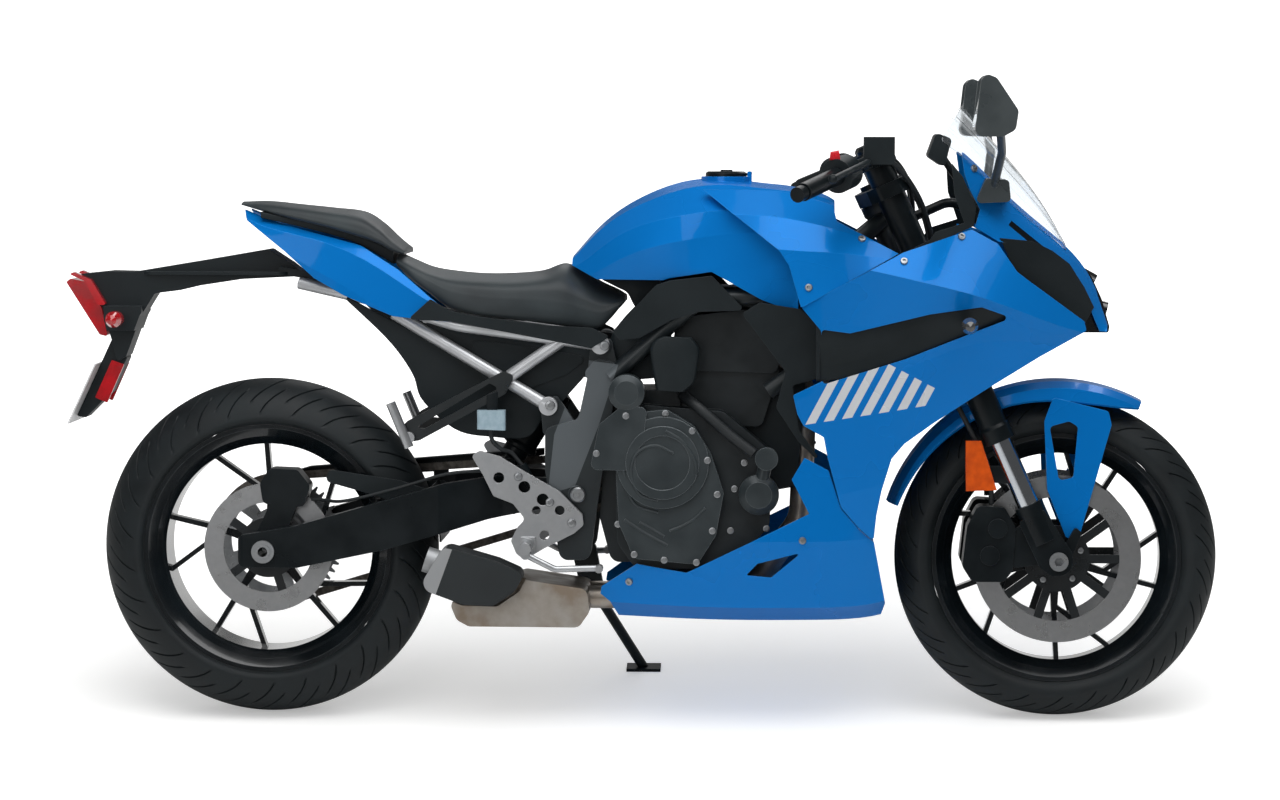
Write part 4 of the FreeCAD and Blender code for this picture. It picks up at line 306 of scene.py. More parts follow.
def opened(look):
    """What a pattern on a finish starts from: the adder of its nodes, its millimetres and its shader."""
    nodes = MATERIALS[look].node_tree.nodes
    shader = next(node for node in nodes if node.type == "BSDF_PRINCIPLED")
    return partial(add_node, MATERIALS[look].node_tree), nodes["millimetres"].outputs[0], shader


def where_all(add, tests):
    """A mask that is 1 where every test holds, as the product of the tests. A test is a socket, a comparison and
    the limit or socket that it is compared with."""
    mask = None
    for value, comparison, limit in tests:
        holds = add("ShaderNodeMath", {0: value, 1: limit}, operation=comparison).outputs[0]
        mask = holds if mask is None else add("ShaderNodeMath", {0: mask, 1: holds}, operation="MULTIPLY").outputs[0]
    return mask


def lay_over(add, shader, mask, tint, metallic=None):
    """Another colour, and if asked another metallic share, where a mask is 1."""
    links = shader.id_data.links
    base, metal = shader.inputs["Base Color"], shader.inputs["Metallic"]
    mixed = add("ShaderNodeMix", {0: mask, 6: base.links[0].from_socket, 7: opaque(tint)}, data_type="RGBA")
    links.new(mixed.outputs[2], base)
    if metallic is not None:
        share = add("ShaderNodeMapRange", {"Value": mask, "To Min": metal.default_value, "To Max": metallic})
        links.new(share.outputs[0], metal)


def add_stripes(look, tint):
    """Slanting light stripes low on the fairing: bars of one width and pitch over a slope, from a foot line that
    climbs towards the front up to one top."""
    slope, pitch, width, top = math.radians(62), 27.0, 15.0, 1128.0
    first, last, foot_end = 612.0, 810.0, 815.0
    foot_range = {"To Min": 952.0, "To Max": 1104.0}
    add, own, shader = opened(look)
    along, over = (add("ShaderNodeVectorMath", {0: own, 1: way}, operation="DOT_PRODUCT").outputs["Value"]
                   for way in ((math.cos(slope), 0, math.sin(slope)), (math.sin(slope), 0, -math.cos(slope))))
    step = add("ShaderNodeMath", {0: over, 1: pitch}, operation="MODULO").outputs[0]
    foot = add("ShaderNodeMapRange", {"Value": over, "From Min": first, "From Max": foot_end, **foot_range},
               clamp=False).outputs[0]
    mask = where_all(add, ((step, "LESS_THAN", width), (along, "GREATER_THAN", foot), (along, "LESS_THAN", top),
                           (over, "GREATER_THAN", first), (over, "LESS_THAN", last)))
    lay_over(add, shader, mask, tint)


def add_fins(look, pitch, depth):
    """Even ridges up a radiator's core: a sine wave of one pitch."""
    add, own, shader = opened(look)
    spot = add("ShaderNodeVectorMath", {0: own, 1: (0, 0, 1)}, operation="DOT_PRODUCT").outputs["Value"]
    wave = add("ShaderNodeMath", {0: spot, 1: 2 * math.pi / pitch}, operation="MULTIPLY").outputs[0]
    ridge = add("ShaderNodeMath", {0: wave}, operation="SINE").outputs[0]
    bump = add("ShaderNodeBump", {"Height": ridge, "Distance": depth / 1000})
    shader.id_data.links.new(bump.outputs[0], shader.inputs["Normal"])


def add_rotor_rings(look, axle, carrier, ring_start):
    """The finish's own steel outside a radius round an axle, and black carrier enamel inside it."""
    add, own, shader = opened(look)
    from_axle = add("ShaderNodeVectorMath", {0: own, 1: axle}, operation="SUBTRACT").outputs[0]
    flat = add("ShaderNodeVectorMath", {0: from_axle, 1: (1, 0, 1)}, operation="MULTIPLY").outputs[0]
    radius = add("ShaderNodeVectorMath", {0: flat}, operation="LENGTH").outputs["Value"]
    outer = add("ShaderNodeMath", {0: radius, 1: ring_start}, operation="GREATER_THAN").outputs[0]
    base, links = shader.inputs["Base Color"], shader.id_data.links
    tint = add("ShaderNodeMix", {0: outer, 6: opaque(carrier), 7: base.links[0].from_socket}, data_type="RGBA")
    links.new(tint.outputs[2], base)
    links.new(outer, shader.inputs["Metallic"])


def add_area(look, corners, tint, metallic=0.0, within=None):
    """Another colour inside a convex polygon of the side view (corners run clockwise seen from the right), and
    if asked only within a distance from the bike's middle."""
    add, own, shader = opened(look)
    tests = []
    for (x, z), (far_x, far_z) in zip(corners, corners[1:] + corners[:1]):
        out = (far_z - z, 0, x - far_x)
        side = add("ShaderNodeVectorMath", {0: own, 1: out}, operation="DOT_PRODUCT").outputs["Value"]
        tests.append((side, "GREATER_THAN", out[0] * x + out[2] * z))
    if within is not None:
        across = add("ShaderNodeSeparateXYZ", {0: own}).outputs[1]
        tests.append((add("ShaderNodeMath", {0: across}, operation="ABSOLUTE").outputs[0], "LESS_THAN", within))
    lay_over(add, shader, where_all(add, tests), tint, metallic)


# The blue lacquer; its creases take a painted light blue highlight besides the real gloss of its coat
LACQUER = ({"Coat Weight": 0.25, "Coat Roughness": 0.03, "Specular IOR Level": 0.15,
            "Specular Tint": (0.15, 0.5, 1, 1)}, 300, 0.28, 0.03, 0.2, 1.0, 0.0, 0.3, "#5FB4F2", 1.6)
STEEL_LAY = ("#B9BABB", "#A5A6A8", {}, 30, 0.3, 0.06, 1.0, 0.7, 0.01)
# Each finish: name, its two colours (a user's colour by its name), values of the shader, size of its clouds,
# roughness and its sway, metallic share, grain and height of its bump, then the share of a painted highlight on
# its edges, that highlight's colour, and the edges' radius; lengths in millimetres
FINISHES = {
    # Sprayed metallic blue under clear lacquer: bright, even, with a sharp wet highlight on every crease
    "paint": ("lacquered_blue_metallic", "paint", "paint", *LACQUER),
    # The same lacquer with the fairing's light stripes
    "fairing_paint": ("lacquered_blue_striped", "paint", "paint", *LACQUER),
    # The same lacquer on the nose, whose vent slot is painted near black as the shade inside its opening
    "nose_paint": ("lacquered_blue_nose", "paint", "paint", *LACQUER),
    # Moulded ABS with a fine spark grain: a dull charcoal sheen, with a paler painted highlight along its edges
    "plastic": ("grained_abs_charcoal", "plastic", "#1B2225", {"Specular IOR Level": 0.22}, 90, 0.46, 0.06, 0.0,
                0.9, 0.03, 0.4, "#454C50", 1.5),
    # Die-cast aluminium under black powder coat: near black, slightly pebbled
    "engine": ("powder_coated_castings", "engine", "#1D2326", {"Specular IOR Level": 0.35}, 45, 0.44, 0.1, 0.0,
               1.4, 0.08, 0.5, "#4A5155", 1.6),
    # Machined engine covers in satin graphite paint: a soft grey sheen with a bright painted highlight along its edges
    "covers": ("satin_graphite_covers", "covers", "#343B3E", {}, 60, 0.36, 0.06, 0.25, 1.2, 0.03, 0.7, "#8A9195", 1.6),
    # Painted aluminium frame: dark grey satin with a soft broad highlight
    "frame": ("satin_grey_frame_enamel", "frame_metal", "#252C2F", {}, 140, 0.38, 0.05, 0.2, 1.2, 0.02, 0.5,
              "#6A7175", 2.0),
    # Black enamel on small metal parts: near black with a tight satin highlight
    "black_metal": ("black_satin_enamel", "#0B1114", "#13191C", {"Specular IOR Level": 0.2}, 60, 0.33, 0.06, 0.0,
                    1.0, 0.02, 0.5, "#4A5155", 1.2),
    # Gloss black enamel on the cast wheels: deep black with mirror-like streaks along the spokes
    "wheel": ("gloss_black_wheel_enamel", "#0A0F12", "#10161A", {"Coat Weight": 0.6, "Coat Roughness": 0.05}, 80,
              0.16, 0.04, 0.0, 1.0, 0.0, 0.5, "#6A6D70", 1.5),
    # Silver painted steel tube: pale, with one soft line of light along it
    "silver": ("silver_tube_enamel", "silver", "#B4B6B9", {}, 70, 0.36, 0.05, 0.65, 1.0, 0.01, 0.4, "#F0F1F2", 1.2),
    # Tumbled and clear anodised brackets and pegs: bright, faintly cloudy; the passenger hangers are black
    "footrests": ("anodised_footrest_alloy", "#BCBEC0", "#A9ABAE", {}, 40, 0.32, 0.06, 0.85, 0.8, 0.02, 0.5,
                  "#F4F5F6", 1.0),
    # Ground stainless rotor: pale grey with a fine lathe lay, round a black carrier
    "rotor": ("ground_stainless_rotor", *STEEL_LAY),
    # Rear rotor: the same ground steel on a smaller carrier
    "rear_rotor": ("ground_stainless_rear_rotor", *STEEL_LAY),
    # Polished hard chrome on the fork's sliding tubes: bright, with sharp dark reflections
    "chrome": ("hard_chrome", "#D2D6DA", "#C3C8CE", {}, 50, 0.08, 0.02, 1.0),
    # Zinc-plated steel: pale grey, slightly uneven
    "steel": ("zinc_plated_steel", "#A7A9AB", "#94979A", {}, 15, 0.34, 0.08, 0.9, 0.8, 0.02),
    # Oiled chain steel: clouds of warm grey and a darker brown
    "chain": ("oiled_chain_steel", "#6C6863", "#4A4643", {}, 12, 0.38, 0.1, 0.85, 0.6, 0.03),
    # Stainless exhaust tinted by heat: straw, brown and grey clouds
    "exhaust": ("heat_tinted_stainless", "#C2BDB6", "#97897A", {}, 55, 0.36, 0.08, 0.75, 1.0, 0.03),
    # Heat-proof matt black on the silencer, with a bare pale tip
    "muffler": ("matt_black_silencer", "#12191C", "#181F22", {}, 70, 0.55, 0.05, 0.0, 1.2, 0.03, 0.5, "#4F5153", 1.6),
    # Polymer seat cover with a fine leather-like pebble: dark grey, softly lit from above
    "seat": ("pebbled_seat_vinyl", "leather", "#323A3D", {"Sheen Weight": 0.08, "Sheen Roughness": 0.4,
                                                          "Specular IOR Level": 0.35}, 120, 0.5, 0.05, 0.0, 1.6, 0.12),
    # Tyre rubber: near black with a bluish bloom
    "rubber": ("tyre_rubber", "rubber", "#161D20", {"Specular IOR Level": 0.35}, 60, 0.58, 0.07, 0.0, 0.9, 0.04),
    # Soft black rubber of the hoses: dull, without a highlight
    "soft_rubber": ("moulded_black_rubber", "#14191C", "#1B2124", {}, 30, 0.62, 0.06, 0.0, 0.8, 0.05),
    # Red acrylic lamp lens: deep and wet, faintly lit from inside
    "red": ("red_acrylic_lens", "#B0101A", "#8E0912", {"Coat Weight": 0.8, "Emission Color": opaque("#C0141C"),
                                                       "Emission Strength": 0.15}, 30, 0.12, 0.03),
    # Orange prism reflector: a bright even orange under a clear face
    "amber": ("amber_acrylic_lens", "#E0590C", "#C44706", {"Coat Weight": 0.8}, 20, 0.14, 0.03),
    # Smoke-clear signal lens: dark grey with a wet highlight
    "smoke": ("smoked_signal_lens", "#3A3B3C", "#48494A", {"Coat Weight": 0.8}, 20, 0.12, 0.03),
    # Blank white plate
    "plate": ("white_plate_enamel", "#E6E7E8", "#DCDDDF", {}, 60, 0.3, 0.04),
    # Dark lamp glass: black with sharp reflections
    "lamp": ("dark_lamp_housing", "#0C0D0F", "#131517", {"Coat Weight": 1.0}, 30, 0.12, 0.03),
    # Cast acrylic windscreen: clear, faintly grey, with sharp reflections
    "screen": ("clear_acrylic_screen", "#F2F5F7", "#EDF1F4", {"Transmission Weight": 1.0, "IOR": 1.49}, 200, 0.03,
               0.01),
    # Black-coated radiator core: even dull ridges
    "radiator": ("black_radiator_core", "#1C1D1F", "#262729", {}, 20, 0.5, 0.08, 0.3),
    # Mirror housings in satin grey paint that takes a broad pale sheen
    "mirror_shell": ("satin_grey_mirror_shell", "#3E4446", "#474D4F", {}, 60, 0.3, 0.05, 0.2, 1.0, 0.0, 0.5,
                     "#8A9194", 1.5),
    # Silvered mirror glass: it shows what stands behind the bike
    "mirror": ("silvered_mirror_glass", "#DDE2E6", "#D5DADF", {}, 60, 0.03, 0.01, 1.0),
    # Translucent fluid bottle: pale blue-grey
    "bottle": ("milky_fluid_bottle", "#9FB4BF", "#8CA3AF", {}, 14, 0.3, 0.05),
    # Bright red moulded switch
    "switch": ("red_moulded_switch", "#D01522", "#BC101C", {}, 10, 0.3, 0.05),
}
# Areas of a finish in another colour: the frame's bare satin side plate, the painted shade of the cowl's vent
# slot, the silencer's tip, and the black passenger hangers, which stand nearer the bike's middle than the pegs
AREAS = (
    ("frame", ((590, 668), (655, 660), (618, 545), (575, 435), (525, 420), (537, 530)), "#5C6266", 0.4),
    # Painted shade: a near-black slot where the vent's opening lies in shade
    ("nose_paint", ((1369, 917), (1375, 925), (1435, 877), (1427, 869)), "#0C1114"),
    ("muffler", ((262, 254), (300, 330), (352, 322), (320, 234)), "#A7A9AB", 0.9),
    ("footrests", ((240, 500), (240, 600), (430, 665), (480, 665), (480, 620), (300, 500)), "#10171A", 0.0, 153.0),
)
CARRIER = "#12171A"

NODE_FINISHES = {
    "front_rim": "wheel", "rear_rim": "wheel", "front_tyre": "rubber", "rear_tyre": "rubber",
    "front_discs": "rotor", "rear_disc": "rear_rotor", "rear_sprocket": "steel", "triple_clamps": "black_metal",
    "fork_legs": "black_metal", "fork_tubes": "chrome", "front_axle": "steel", "front_calipers": "black_metal",
    "handlebars": "black_metal", "hand_controls": "plastic", "front_fender": "paint", "main_frame": "frame",
    "swingarm": "black_metal", "rear_axle": "steel", "rear_caliper": "black_metal", "chain": "chain",
    "engine_block": "engine", "engine_covers": "covers", "exhaust_pipes": "exhaust", "muffler": "muffler",
    "rear_shock": "black_metal", "subframe": "silver", "side_stand": "black_metal", "fuel_tank": "paint",
    "fuel_cap": "black_metal", "rider_seat": "seat", "pillion_seat": "seat", "tail_fairing": "paint",
    "tail_tray": "plastic", "rear_lamps": "red", "number_plate": "plate", "side_covers": "plastic",
    "tank_shrouds": "paint", "side_fairings": "fairing_paint", "inner_panels": "plastic", "nose_cowl": "nose_paint",
    "headlight": "lamp", "windscreen": "screen", "dash_panel": "plastic", "nose_bracket": "black_metal",
    "front_signals": "smoke", "mirrors": "mirror_shell", "belly_pan": "paint", "radiator": "radiator",
    "footrests": "footrests", "chain_guard": "plastic",
}

# Soft boxes: name, spot and aim, size across and up, all in metres, and watts
SOFT_BOXES = (("overhead_soft_box", (0.2, -0.9, 3.4), (0, 0, 0.5), (4.2, 2.2), 66),
              ("side_soft_box", (-1.6, -4.2, 2.2), (0, 0, 0.6), (2.4, 1.6), 26),
              ("rear_soft_box", (0.6, 3.6, 2.6), (0, 0, 0.7), (3.0, 1.4), 30))
FLOOR_REACH = 40.0
# The floor's own glow under the bike and far from it, and the distances between which it rises
FLOOR_GLOW = {"To Min": 0.38, "To Max": 1.0, "From Min": 1.0, "From Max": 2.6}
# The white room's light on the bike, and in its reflections
ROOM_LIGHT = {"To Min": 0.28, "To Max": 0.1}
# The camera in the bike's own axes: millimetres, and radians off square to its side
CAMERA_SPOT = (969.95, -7964.7, 1091.47)
CAMERA_YAW, CAMERA_PITCH, CAMERA_ROLL = 0.0351, 0.0633, 0.0011


class BIKE_OT_stage(bpy.types.Operator):
    """Floor, soft studio lights and the camera of the side view."""

    bl_idname = "bike.stage"
    bl_label = "Studio"

    def execute(self, context):
        """A white sweep that keeps the bike's shadow, an overhead soft light and fills from both sides."""
        floor_mesh = bpy.data.meshes.new("studio_floor")
        corners = [(x * FLOOR_REACH, y * FLOOR_REACH, 0) for x, y in ((-1, -1), (1, -1), (1, 1), (-1, 1))]
        floor_mesh.from_pydata(corners, [], [(0, 1, 2, 3)])
        floor = bpy.data.objects.new("studio_floor", floor_mesh)
        context.scene.collection.objects.link(floor)
        # White seamless paper: even and matt, as bright as the backdrop away from the bike's shadow
        paper = bpy.data.materials.new("white_seamless_paper")
        add = emptied(paper)
        seen, _ = self.seen_rays(add)
        place = add("ShaderNodeTexCoord").outputs["Object"]
        speck = add("ShaderNodeTexNoise", {"Vector": place, "Scale": 6.0}).outputs[0]
        tone = add("ShaderNodeMix", {0: speck, 6: opaque("#E9E9E8"), 7: opaque("#EDEDEC")}, data_type="RGBA")
        matt = add("ShaderNodeBsdfDiffuse", {"Color": tone.outputs[2]})
        out = add("ShaderNodeVectorMath", {0: place}, operation="LENGTH").outputs["Value"]
        fade = add("ShaderNodeMapRange", {"Value": out, **FLOOR_GLOW}).outputs[0]
        level = add("ShaderNodeMath", {0: seen, 1: fade}, operation="MULTIPLY").outputs[0]
        glow = add("ShaderNodeEmission", {"Strength": level})
        both = add("ShaderNodeAddShader", {0: matt.outputs[0], 1: glow.outputs[0]})
        add("ShaderNodeOutputMaterial", {0: both.outputs[0]})
        floor_mesh.materials.append(paper)
        self.light_room(context)
        self.place_camera(context)
        return {"FINISHED"}

    def seen_rays(self, add):
        """1 on rays from the camera, straight or through clear pieces, and all the kinds of ray."""
        rays = add("ShaderNodeLightPath").outputs
        seen = add("ShaderNodeMath", {0: rays["Is Camera Ray"], 1: rays["Is Transmission Ray"]}, operation="MAXIMUM")
        return seen.outputs[0], rays

    def light_room(self, context):
        """A room that is white to the camera and dim to the bike, soft boxes, and a broad weak sun."""
        world = context.scene.world or bpy.data.worlds.new("studio")
        context.scene.world = world
        add = emptied(world)
        seen, rays = self.seen_rays(add)
        dim = add("ShaderNodeMapRange", {"Value": rays["Is Glossy Ray"], **ROOM_LIGHT}).outputs[0]
        level = add("ShaderNodeMath", {0: seen, 1: dim}, operation="MAXIMUM").outputs[0]
        sky = add("ShaderNodeBackground", {"Color": (1, 1, 1, 1), "Strength": level})
        add("ShaderNodeOutputWorld", {0: sky.outputs[0]})
        for name, spot, aim, size, power in SOFT_BOXES:
            light = bpy.data.lights.new(name, "AREA")
            light.shape = "RECTANGLE"
            light.size, light.size_y = size
            light.energy = power
            away = np.array(spot) - np.array(aim)
            tilt = math.atan2(math.hypot(away[0], away[1]), away[2])
            holder = self.hold(context, name, light)
            holder.location = spot
            holder.rotation_euler = (tilt, 0, math.atan2(away[0], -away[1]))
        sun = bpy.data.lights.new("even_daylight", "SUN")
        sun.energy = 0.85
        sun.angle = math.radians(70)
        self.hold(context, "even_daylight", sun).rotation_euler = (math.radians(18), math.radians(8), 0)

    def hold(self, context, name, item):
        """The object that holds a light or the camera."""
        holder = bpy.data.objects.new(name, item)
        context.scene.collection.objects.link(holder)
        return holder

    def place_camera(self, context):
        """The camera that took the picture: yaw and pitch turn its view, roll turns its sides about that, and
        the bike's axes lean it over with the bike."""
        flat = math.cos(CAMERA_PITCH)
        ahead = np.array((-math.sin(CAMERA_YAW) * flat, math.cos(CAMERA_YAW) * flat, -math.sin(CAMERA_PITCH)))
        right = np.array((math.cos(CAMERA_YAW), math.sin(CAMERA_YAW), 0))
        over = np.cross(right, ahead)
        side = right * math.cos(CAMERA_ROLL) + over * math.sin(CAMERA_ROLL)
        rise = over * math.cos(CAMERA_ROLL) - right * math.sin(CAMERA_ROLL)
        camera = bpy.data.cameras.new("studio_camera")
        camera.lens = context.scene.bike_sizes.lens
        camera.sensor_width = 36
        camera.clip_end = 200
        matrix = np.eye(4)
        matrix[:3, :3] = (np.array((side, rise, -ahead)) @ (AXES * 1000)).T
        matrix[:3, 3] = park(CAMERA_SPOT)
        holder = self.hold(context, "studio_camera", camera)
        holder.matrix_world = Matrix(matrix.tolist())
        context.scene.camera = holder


class BIKE_OT_finishes(bpy.types.Operator):
    """Gives every solid of the bike its finish."""

    bl_idname = "bike.finishes"
    bl_label = "Finishes"

    def execute(self, context):
        """Each node takes the finish that its real piece has."""
        colours = context.scene.bike_colours
        for look, (name, base, accent, *rest) in FINISHES.items():
            MATERIALS[look] = finish(name, getattr(colours, base, base), getattr(colours, accent, accent), *rest)
        add_stripes("fairing_paint", colours.stripe)
        for area in AREAS:
            add_area(*area)
        add_rotor_rings("rotor", (WHEELBASE, 0, FRONT_RADIUS), CARRIER, ring_start=115.0)
        add_rotor_rings("rear_rotor", (0, 0, REAR_RADIUS), CARRIER, ring_start=84.0)
        add_fins("radiator", pitch=6.0, depth=1.5)
        for name, node in frame["nodes"].items():
            material = MATERIALS[NODE_FINISHES[name]]
            if not node.material_slots:
                node.data.materials.append(material)
            for slot in node.material_slots:
                slot.material = material
        return {"FINISHED"}


# Both tyres: body, axle's place, outer radius, section's width and the rim's
TYRES = (("front", WHEELBASE, FRONT_RADIUS, 120, 100), ("rear", 0, REAR_RADIUS, 180, 156))
# Their carcass: thickness, radius of the bead, and the grid's rows up a sidewall and over the tread
WALL, BEAD = 9.0, 231.6
SIDE_ROWS, TREAD_ROWS = 22, 61
# The grid's columns as shares of one groove's pitch: two pairs stand close, and each is a groove's floor
COLUMNS = np.array((0.0, 0.030, 0.044, 0.074, 0.13, 0.2, 0.27, 0.34, 0.41, 0.48, 0.51, 0.524, 0.554, 0.62, 0.7,
                    0.78, 0.86, 0.93))
GROOVE_FLOORS = ((0.03, 0.044), (0.51, 0.524))
# Where the long and the short groove start and stop from the tread's middle (0) to its shoulder (1), and how
# gently they rise there
LONG_GROOVE = (0.16, 0.06, 0.86, 0.05)
SHORT_GROOVE = (0.56, 0.06, 0.985, 0.03)
# How far a groove lags the angle at the shoulder, in radians, and the power of its curve
LAG, LAG_POWER = 0.30, 1.7
# The ridges round a sidewall: place from the bead (0) to the shoulder (1) and width, then their depth
SIDE_RIDGES = ((0.16, 0.035), (0.30, 0.03))
RIDGE_DEPTH = 0.5


def arc_through(start, middle, end, count):
    """Points on the circle through three points of a plane, from the first to the last."""
    (x1, y1), (x2, y2), (x3, y3) = start, middle, end
    turn = 2 * (x1 * (y2 - y3) + x2 * (y3 - y1) + x3 * (y1 - y2))
    one, two, three = x1 ** 2 + y1 ** 2, x2 ** 2 + y2 ** 2, x3 ** 2 + y3 ** 2
    centre = np.array(((one * (y2 - y3) + two * (y3 - y1) + three * (y1 - y2)) / turn,
                       (one * (x3 - x2) + two * (x1 - x3) + three * (x2 - x1)) / turn))
    rays = np.array((start, middle, end)) - centre
    angles = np.unwrap(np.arctan2(rays[:, 1], rays[:, 0]))
    angle = np.linspace(angles[0], angles[2], count)
    return centre + np.hypot(*rays[0]) * np.stack((np.cos(angle), np.sin(angle)), -1)


def between(size, start, rise, stop, fall):
    """1 between two values, with an even slope from 0 inside each."""
    return np.clip((size - start) / rise, 0, 1) * np.clip((stop - size) / fall, 0, 1)


def tyre_grid(axle_x, radius, width, rim_width, grooves, depth):
    """A tyre as angle round the wheel by place across its section: two sidewall arcs and a tread arc outside,
    the same line a wall thinner inside. Grooves follow a curve that lags the angle more towards the shoulder,
    and the grid's columns lag with it, so that each groove is a run of whole columns pressed in."""
    crown, half = width / 2 + 3, width / 2
    shoulder = radius - crown + math.sqrt(crown ** 2 - half ** 2)
    toe = rim_width / 2 - 2
    swell, bulge = (BEAD + shoulder) / 2, toe + 0.75 * (half - toe) + 0.006 * width
    side = arc_through((BEAD, toe), (swell, bulge), (shoulder, half), SIDE_ROWS)
    reach = math.asin(half / crown)
    turn = np.linspace(reach, -reach, TREAD_ROWS)
    tread = np.stack((radius - crown + crown * np.cos(turn), crown * np.sin(turn)), -1)
    outer = np.concatenate((side[:-1], tread, side[::-1][1:] * (1, -1)))
    share = np.concatenate((np.ones(SIDE_ROWS - 1), np.sin(turn) * crown / half, -np.ones(SIDE_ROWS - 1)))
    from_rim = np.concatenate((np.linspace(0, 1, SIDE_ROWS)[:-1], np.full(TREAD_ROWS, 2.0),
                               np.linspace(1, 0, SIDE_ROWS)[1:]))
    ridge = RIDGE_DEPTH * sum(np.exp(-((from_rim - middle) / wide) ** 2) for middle, wide in SIDE_RIDGES)
    step = np.gradient(outer, axis=0)
    out = unit(np.stack((step[:, 1], -step[:, 0]), -1))
    out = out * np.sign(np.sum(out * (outer - (radius - crown, 0)), 1))[:, None]
    outer = outer - ridge[:, None] * out
    inner = np.stack((np.clip(outer[:, 0] - WALL * np.abs(out[:, 0]), BEAD, None), outer[:, 1] - WALL * out[:, 1]), -1)
    first, second = (np.tile(((COLUMNS >= low) & (COLUMNS <= high)).astype(float), grooves)[:, None]
                     for low, high in GROOVE_FLOORS)
    around = (np.arange(grooves)[:, None] + COLUMNS[None]).reshape(-1) * 2 * math.pi / grooves
    size = np.abs(share)[None]
    long, short = between(size, *LONG_GROOVE), between(size, *SHORT_GROOVE)
    cut = np.where((share < 0)[None], first * long + second * short, second * long + first * short)
    angle = around[:, None] + LAG * size ** LAG_POWER
    outline = outer[None] - depth * cut[..., None] * out[None]
    section = np.concatenate((outline, np.broadcast_to(inner[::-1], outline.shape)), 1)
    angle = np.concatenate((angle, angle[:, ::-1]), 1)
    return np.stack((axle_x + section[..., 0] * np.cos(angle), section[..., 1],
                     radius + section[..., 0] * np.sin(angle)), -1)


class BIKE_OT_tyres(bpy.types.Operator):
    """Tyres with their tread and sidewall ridges."""

    bl_idname = "bike.tyres"
    bl_label = "Tyres"

    def execute(self, context):
        """Each tyre is one closed surface round its wheel."""
        sizes = context.scene.bike_sizes
        for end, *shape in TYRES:
            grid = tyre_grid(*shape, sizes.grooves, sizes.groove_depth)
            made = piece(f"{end}_tyre_tread", [grid], "rubber", f"{end}_wheel", 35, True)
            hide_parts(f"{end}_tyre")
        return {"FINISHED"}


# Sections of the saddles: place along the bike, then half-width and height from the middle of the underside to
# the middle of the top
RIDER_STATIONS = (
    (243, ((0, 837), (60, 838), (84, 840), (92, 846), (80, 854), (45, 859), (0, 861))),
    (272, ((0, 812), (80, 812), (108, 815), (114, 828), (100, 840), (56, 845), (0, 848))),
    (305, ((0, 790), (90, 790), (119, 792), (122, 808), (110, 824), (62, 831), (0, 835))),
    (345, ((0, 762), (100, 762), (130, 764), (134, 788), (120, 812), (70, 823), (0, 828))),
    (400, ((0, 750), (105, 750), (136, 751), (139, 776), (126, 806), (74, 819), (0, 823))),
    (460, ((0, 742), (104, 742), (134, 744), (138, 772), (124, 804), (70, 819), (0, 824))),
    (510, ((0, 737), (98, 737), (124, 739), (127, 768), (112, 806), (60, 824), (0, 829))),
    (550, ((0, 733), (88, 733), (114, 734), (117, 762), (102, 806), (56, 834), (0, 842))),
    (580, ((0, 731), (78, 731), (102, 731), (106, 756), (94, 792), (54, 818), (0, 831))),
    (620, ((0, 727), (68, 727), (92, 728), (95, 748), (84, 774), (48, 797), (0, 808))),
    (650, ((0, 756), (58, 756), (78, 757), (81, 764), (74, 774), (44, 787), (0, 794))),
    (664, ((0, 772), (52, 772), (68, 772), (72, 775), (66, 779), (40, 783), (0, 785))),
)
PILLION_STATIONS = (
    (-50, ((0, 950), (30, 950), (42, 950), (46, 951), (42, 953), (22, 955), (0, 956))),
    (0, ((0, 936), (46, 936), (66, 937), (72, 941), (62, 950), (34, 955), (0, 957))),
    (60, ((0, 922), (60, 922), (82, 923), (88, 929), (76, 943), (42, 949), (0, 951))),
    (120, ((0, 908), (68, 908), (92, 909), (98, 917), (86, 934), (48, 942), (0, 945))),
    (176, ((0, 892), (76, 892), (98, 893), (104, 903), (92, 924), (52, 934), (0, 938))),
    (210, ((0, 880), (76, 880), (100, 881), (105, 890), (92, 906), (52, 914), (0, 918))),
    (236, ((0, 866), (74, 866), (98, 867), (102, 874), (92, 884), (52, 890), (0, 893))),
    (258, ((0, 860), (70, 860), (92, 860), (96, 863), (88, 868), (50, 871), (0, 873))),
)
# The seam's width as a share of the way round a saddle
SEAM_WIDTH = 0.007


def saddle(name, stations, node, seam_share, seam_depth, rows=90, columns=72):
    """Padded saddle: its sections smoothed along and round, with the far half mirrored, pressed in by a bell
    curve along a welted seam, and the two ends drawn in to a point."""
    net = np.array([[(x, -half, height) for half, height in section] for x, section in stations], float)
    loop = np.concatenate((net, mirrored(net[:, ::-1])[:, 1:-1]), 1)
    along = np.swapaxes(curve_through(loop, rows), 0, 1)
    ring = np.swapaxes(curve_through(along, columns, closed=True), 0, 1)
    place = np.linspace(0, 1, columns, endpoint=False)
    off = np.minimum(np.abs(place - seam_share), np.abs(place - (1 - seam_share)))
    inward = unit(ring.mean(1, keepdims=True) - ring)
    ring = ring + seam_depth * np.exp(-(off / SEAM_WIDTH) ** 2)[None, :, None] * inward
    made = piece(name, [drawn_in(ring)], "seat", smooth=60)
    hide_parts(node)


class BIKE_OT_seats(bpy.types.Operator):
    """Both padded saddles with their seams."""

    bl_idname = "bike.seats"
    bl_label = "Saddles"

    def execute(self, context):
        """The rider's saddle and the raised passenger's one."""
        depth = context.scene.bike_sizes.seam
        saddle("rider_seat_pad", RIDER_STATIONS, "rider_seat", 0.29, depth)
        saddle("pillion_seat_pad", PILLION_STATIONS, "pillion_seat", 0.27, depth)
        return {"FINISHED"}


